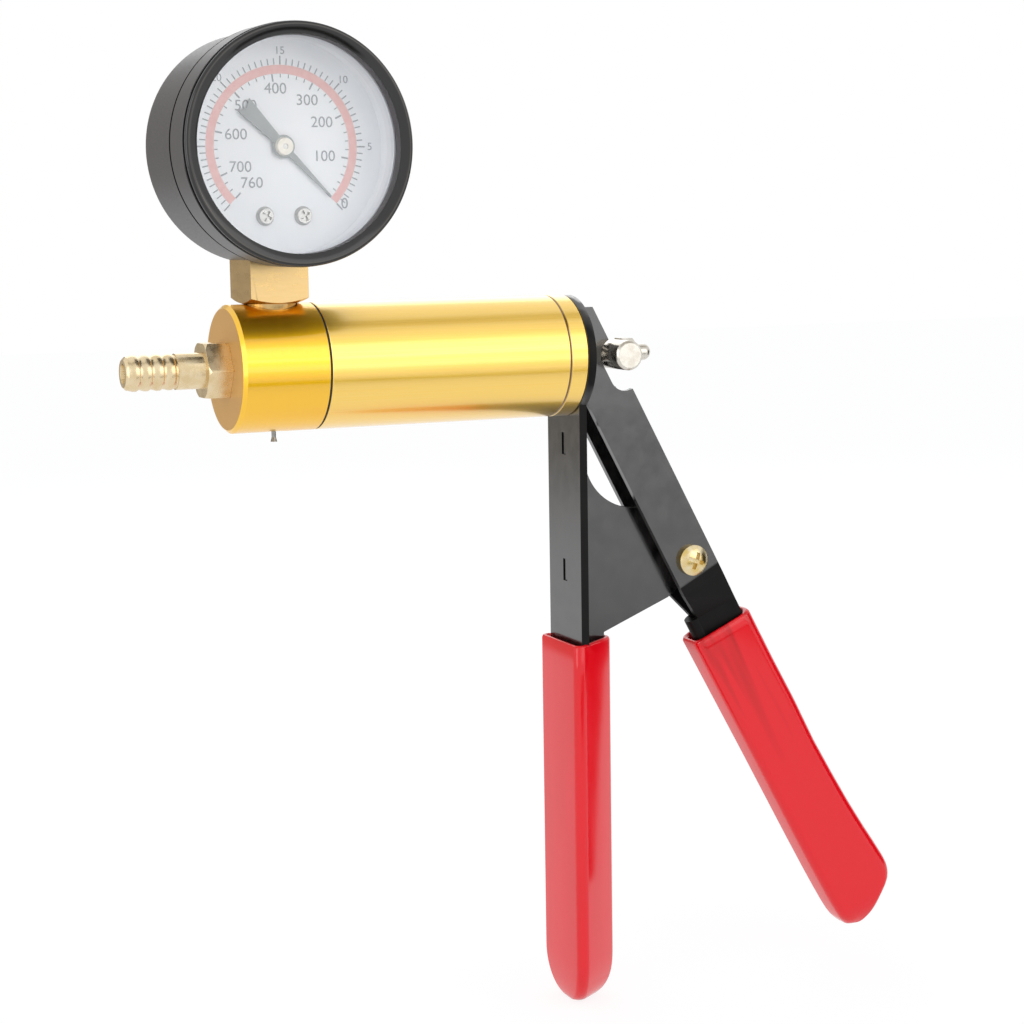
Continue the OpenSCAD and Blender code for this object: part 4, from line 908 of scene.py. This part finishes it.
def card(name, centre, normal, width, height, material):
    toward = Vector(normal).normalized()
    side = Vector((0, 0, 1)).cross(toward)
    side = side.normalized() if side.length > 0.001 else Vector((1, 0, 0))
    mesh = bpy.data.meshes.new(name)
    corners = [(x * width / 2, y * height / 2, 0) for x, y in ((-1, -1), (1, -1), (1, 1), (-1, 1))]
    mesh.from_pydata(corners, [], [(0, 1, 2, 3)])
    mesh.materials.append(material)
    obj = bpy.data.objects.new(name, mesh)
    obj.matrix_world = stand(side, toward.cross(side), toward, centre)
    scene.collection.objects.link(obj)
    return obj


paper, tree, shader = finish("white_paper_sweep", "#f2f2f2", 0.0, 0.9)
part = add(tree, "ShaderNodeMath", {"operation": "MULTIPLY", 1: GLOW_SHARE}, {0: (seen_directly(tree), 0)})
glow = add(tree, "ShaderNodeEmission", {"Color": linear("#ffffff"), "Strength": GLOW})
split = add(tree, "ShaderNodeMixShader", links={0: (part, 0), 1: (shader, "BSDF"), 2: (glow, 0)})
tree.links.new(split.outputs[0], tree.nodes["Material Output"].inputs["Surface"])
floor_z = cad_box[0][2]
card("floor", (0.075, 0, floor_z), (0, 0, 1), FLOOR_SIZE, FLOOR_SIZE, paper)
print("floor at", round(floor_z, 4))

# %% [markdown]
# Metal is drawn by what it reflects, so cards that only reflections can see put the bands on the barrel.
# A dim card makes a dark band and a bright one a highlight; each fades out towards its long edges.
# The key card is the broad highlight along the barrel, and a narrow bright core lies just in front of it.

# %% Cards that only reflections see
def soft_card(name, centre, normal, width, height, shine, blur):
    material = bpy.data.materials.new(name)
    material.use_nodes = True
    tree = material.node_tree
    tree.nodes.clear()
    where = add(tree, "ShaderNodeTexCoord")
    spot = add(tree, "ShaderNodeSeparateXYZ", links={0: (where, "Object")})
    off = add(tree, "ShaderNodeMath", {"operation": "ABSOLUTE"}, {0: (spot, "Y")})
    edge = add(tree, "ShaderNodeMapRange",
               {"interpolation_type": "SMOOTHSTEP", "From Min": height / 2 * (1 - blur), "From Max": height / 2,
                "To Min": 1.0, "To Max": 0.0}, {"Value": (off, 0)})
    clear = add(tree, "ShaderNodeBsdfTransparent")
    lit = add(tree, "ShaderNodeEmission", {"Color": linear("#fff6e8"), "Strength": shine})
    both = add(tree, "ShaderNodeMixShader", links={0: (edge, "Result"), 1: (clear, 0), 2: (lit, 0)})
    add(tree, "ShaderNodeOutputMaterial", links={"Surface": (both, 0)})
    obj = card(name, centre, normal, width, height, material)
    obj.visible_camera = obj.visible_diffuse = obj.visible_shadow = obj.visible_transmission = False
    print("card:", name, "shines", shine)


ON_FLOOR = floor_z + 0.002
soft_card("card_overhead", (0.38, -0.17, 0.93), (0.09, -0.29, -1.0), 1.8, 0.4, 0.5, 0.5)
soft_card("card_key", (0.44, -0.88, 0.26), (-0.41, 0.9, -0.2), 0.9, 0.5, 1.4, 0.8)
soft_card("card_key_core", (0.439, -0.878, 0.2595), (-0.41, 0.9, -0.2), 0.9, 0.18, 3.2, 0.9)
soft_card("card_right", (0.42, -0.06, floor_z + 0.12), (-1.0, 0.15, 0.0), 0.2, 0.24, 0.03, 0.1)
soft_card("card_floor_front", (0.21, -0.335, ON_FLOOR), (0, 0, 1), 0.4, 0.13, 0.1, 0.5)
soft_card("card_back_left", (-0.25, 0.68, 0.12), (0.4, -0.9, 0), 0.7, 0.56, 0.5, 0.25)

# %% [markdown]
# Three large soft boxes give the light and the faint shadow, from the front right, the left and the back.
# Each is turned so that it faces the middle of the pump.

# %% Lamps
LAMPS = (("box_front_right", (0.50, -0.85, 0.28), (0.9, 0.76), 2.0),
         ("box_left", (-0.95, -0.45, 0.22), (0.6, 0.9), 2.6),
         ("box_back", (0.35, 0.9, 0.5), (0.8, 0.6), 1.4))
for name, place, size, power in LAMPS:
    lamp = bpy.data.lights.new(name, "AREA")
    lamp.shape, lamp.size, lamp.size_y, lamp.energy = "RECTANGLE", size[0], size[1], power
    obj = bpy.data.objects.new(name, lamp)
    obj.location = place
    obj.rotation_euler = (Vector(place) - TARGET).to_track_quat("Z", "Y").to_euler()
    obj.visible_camera = False
    scene.collection.objects.link(obj)
print("lamps:", len(LAMPS))
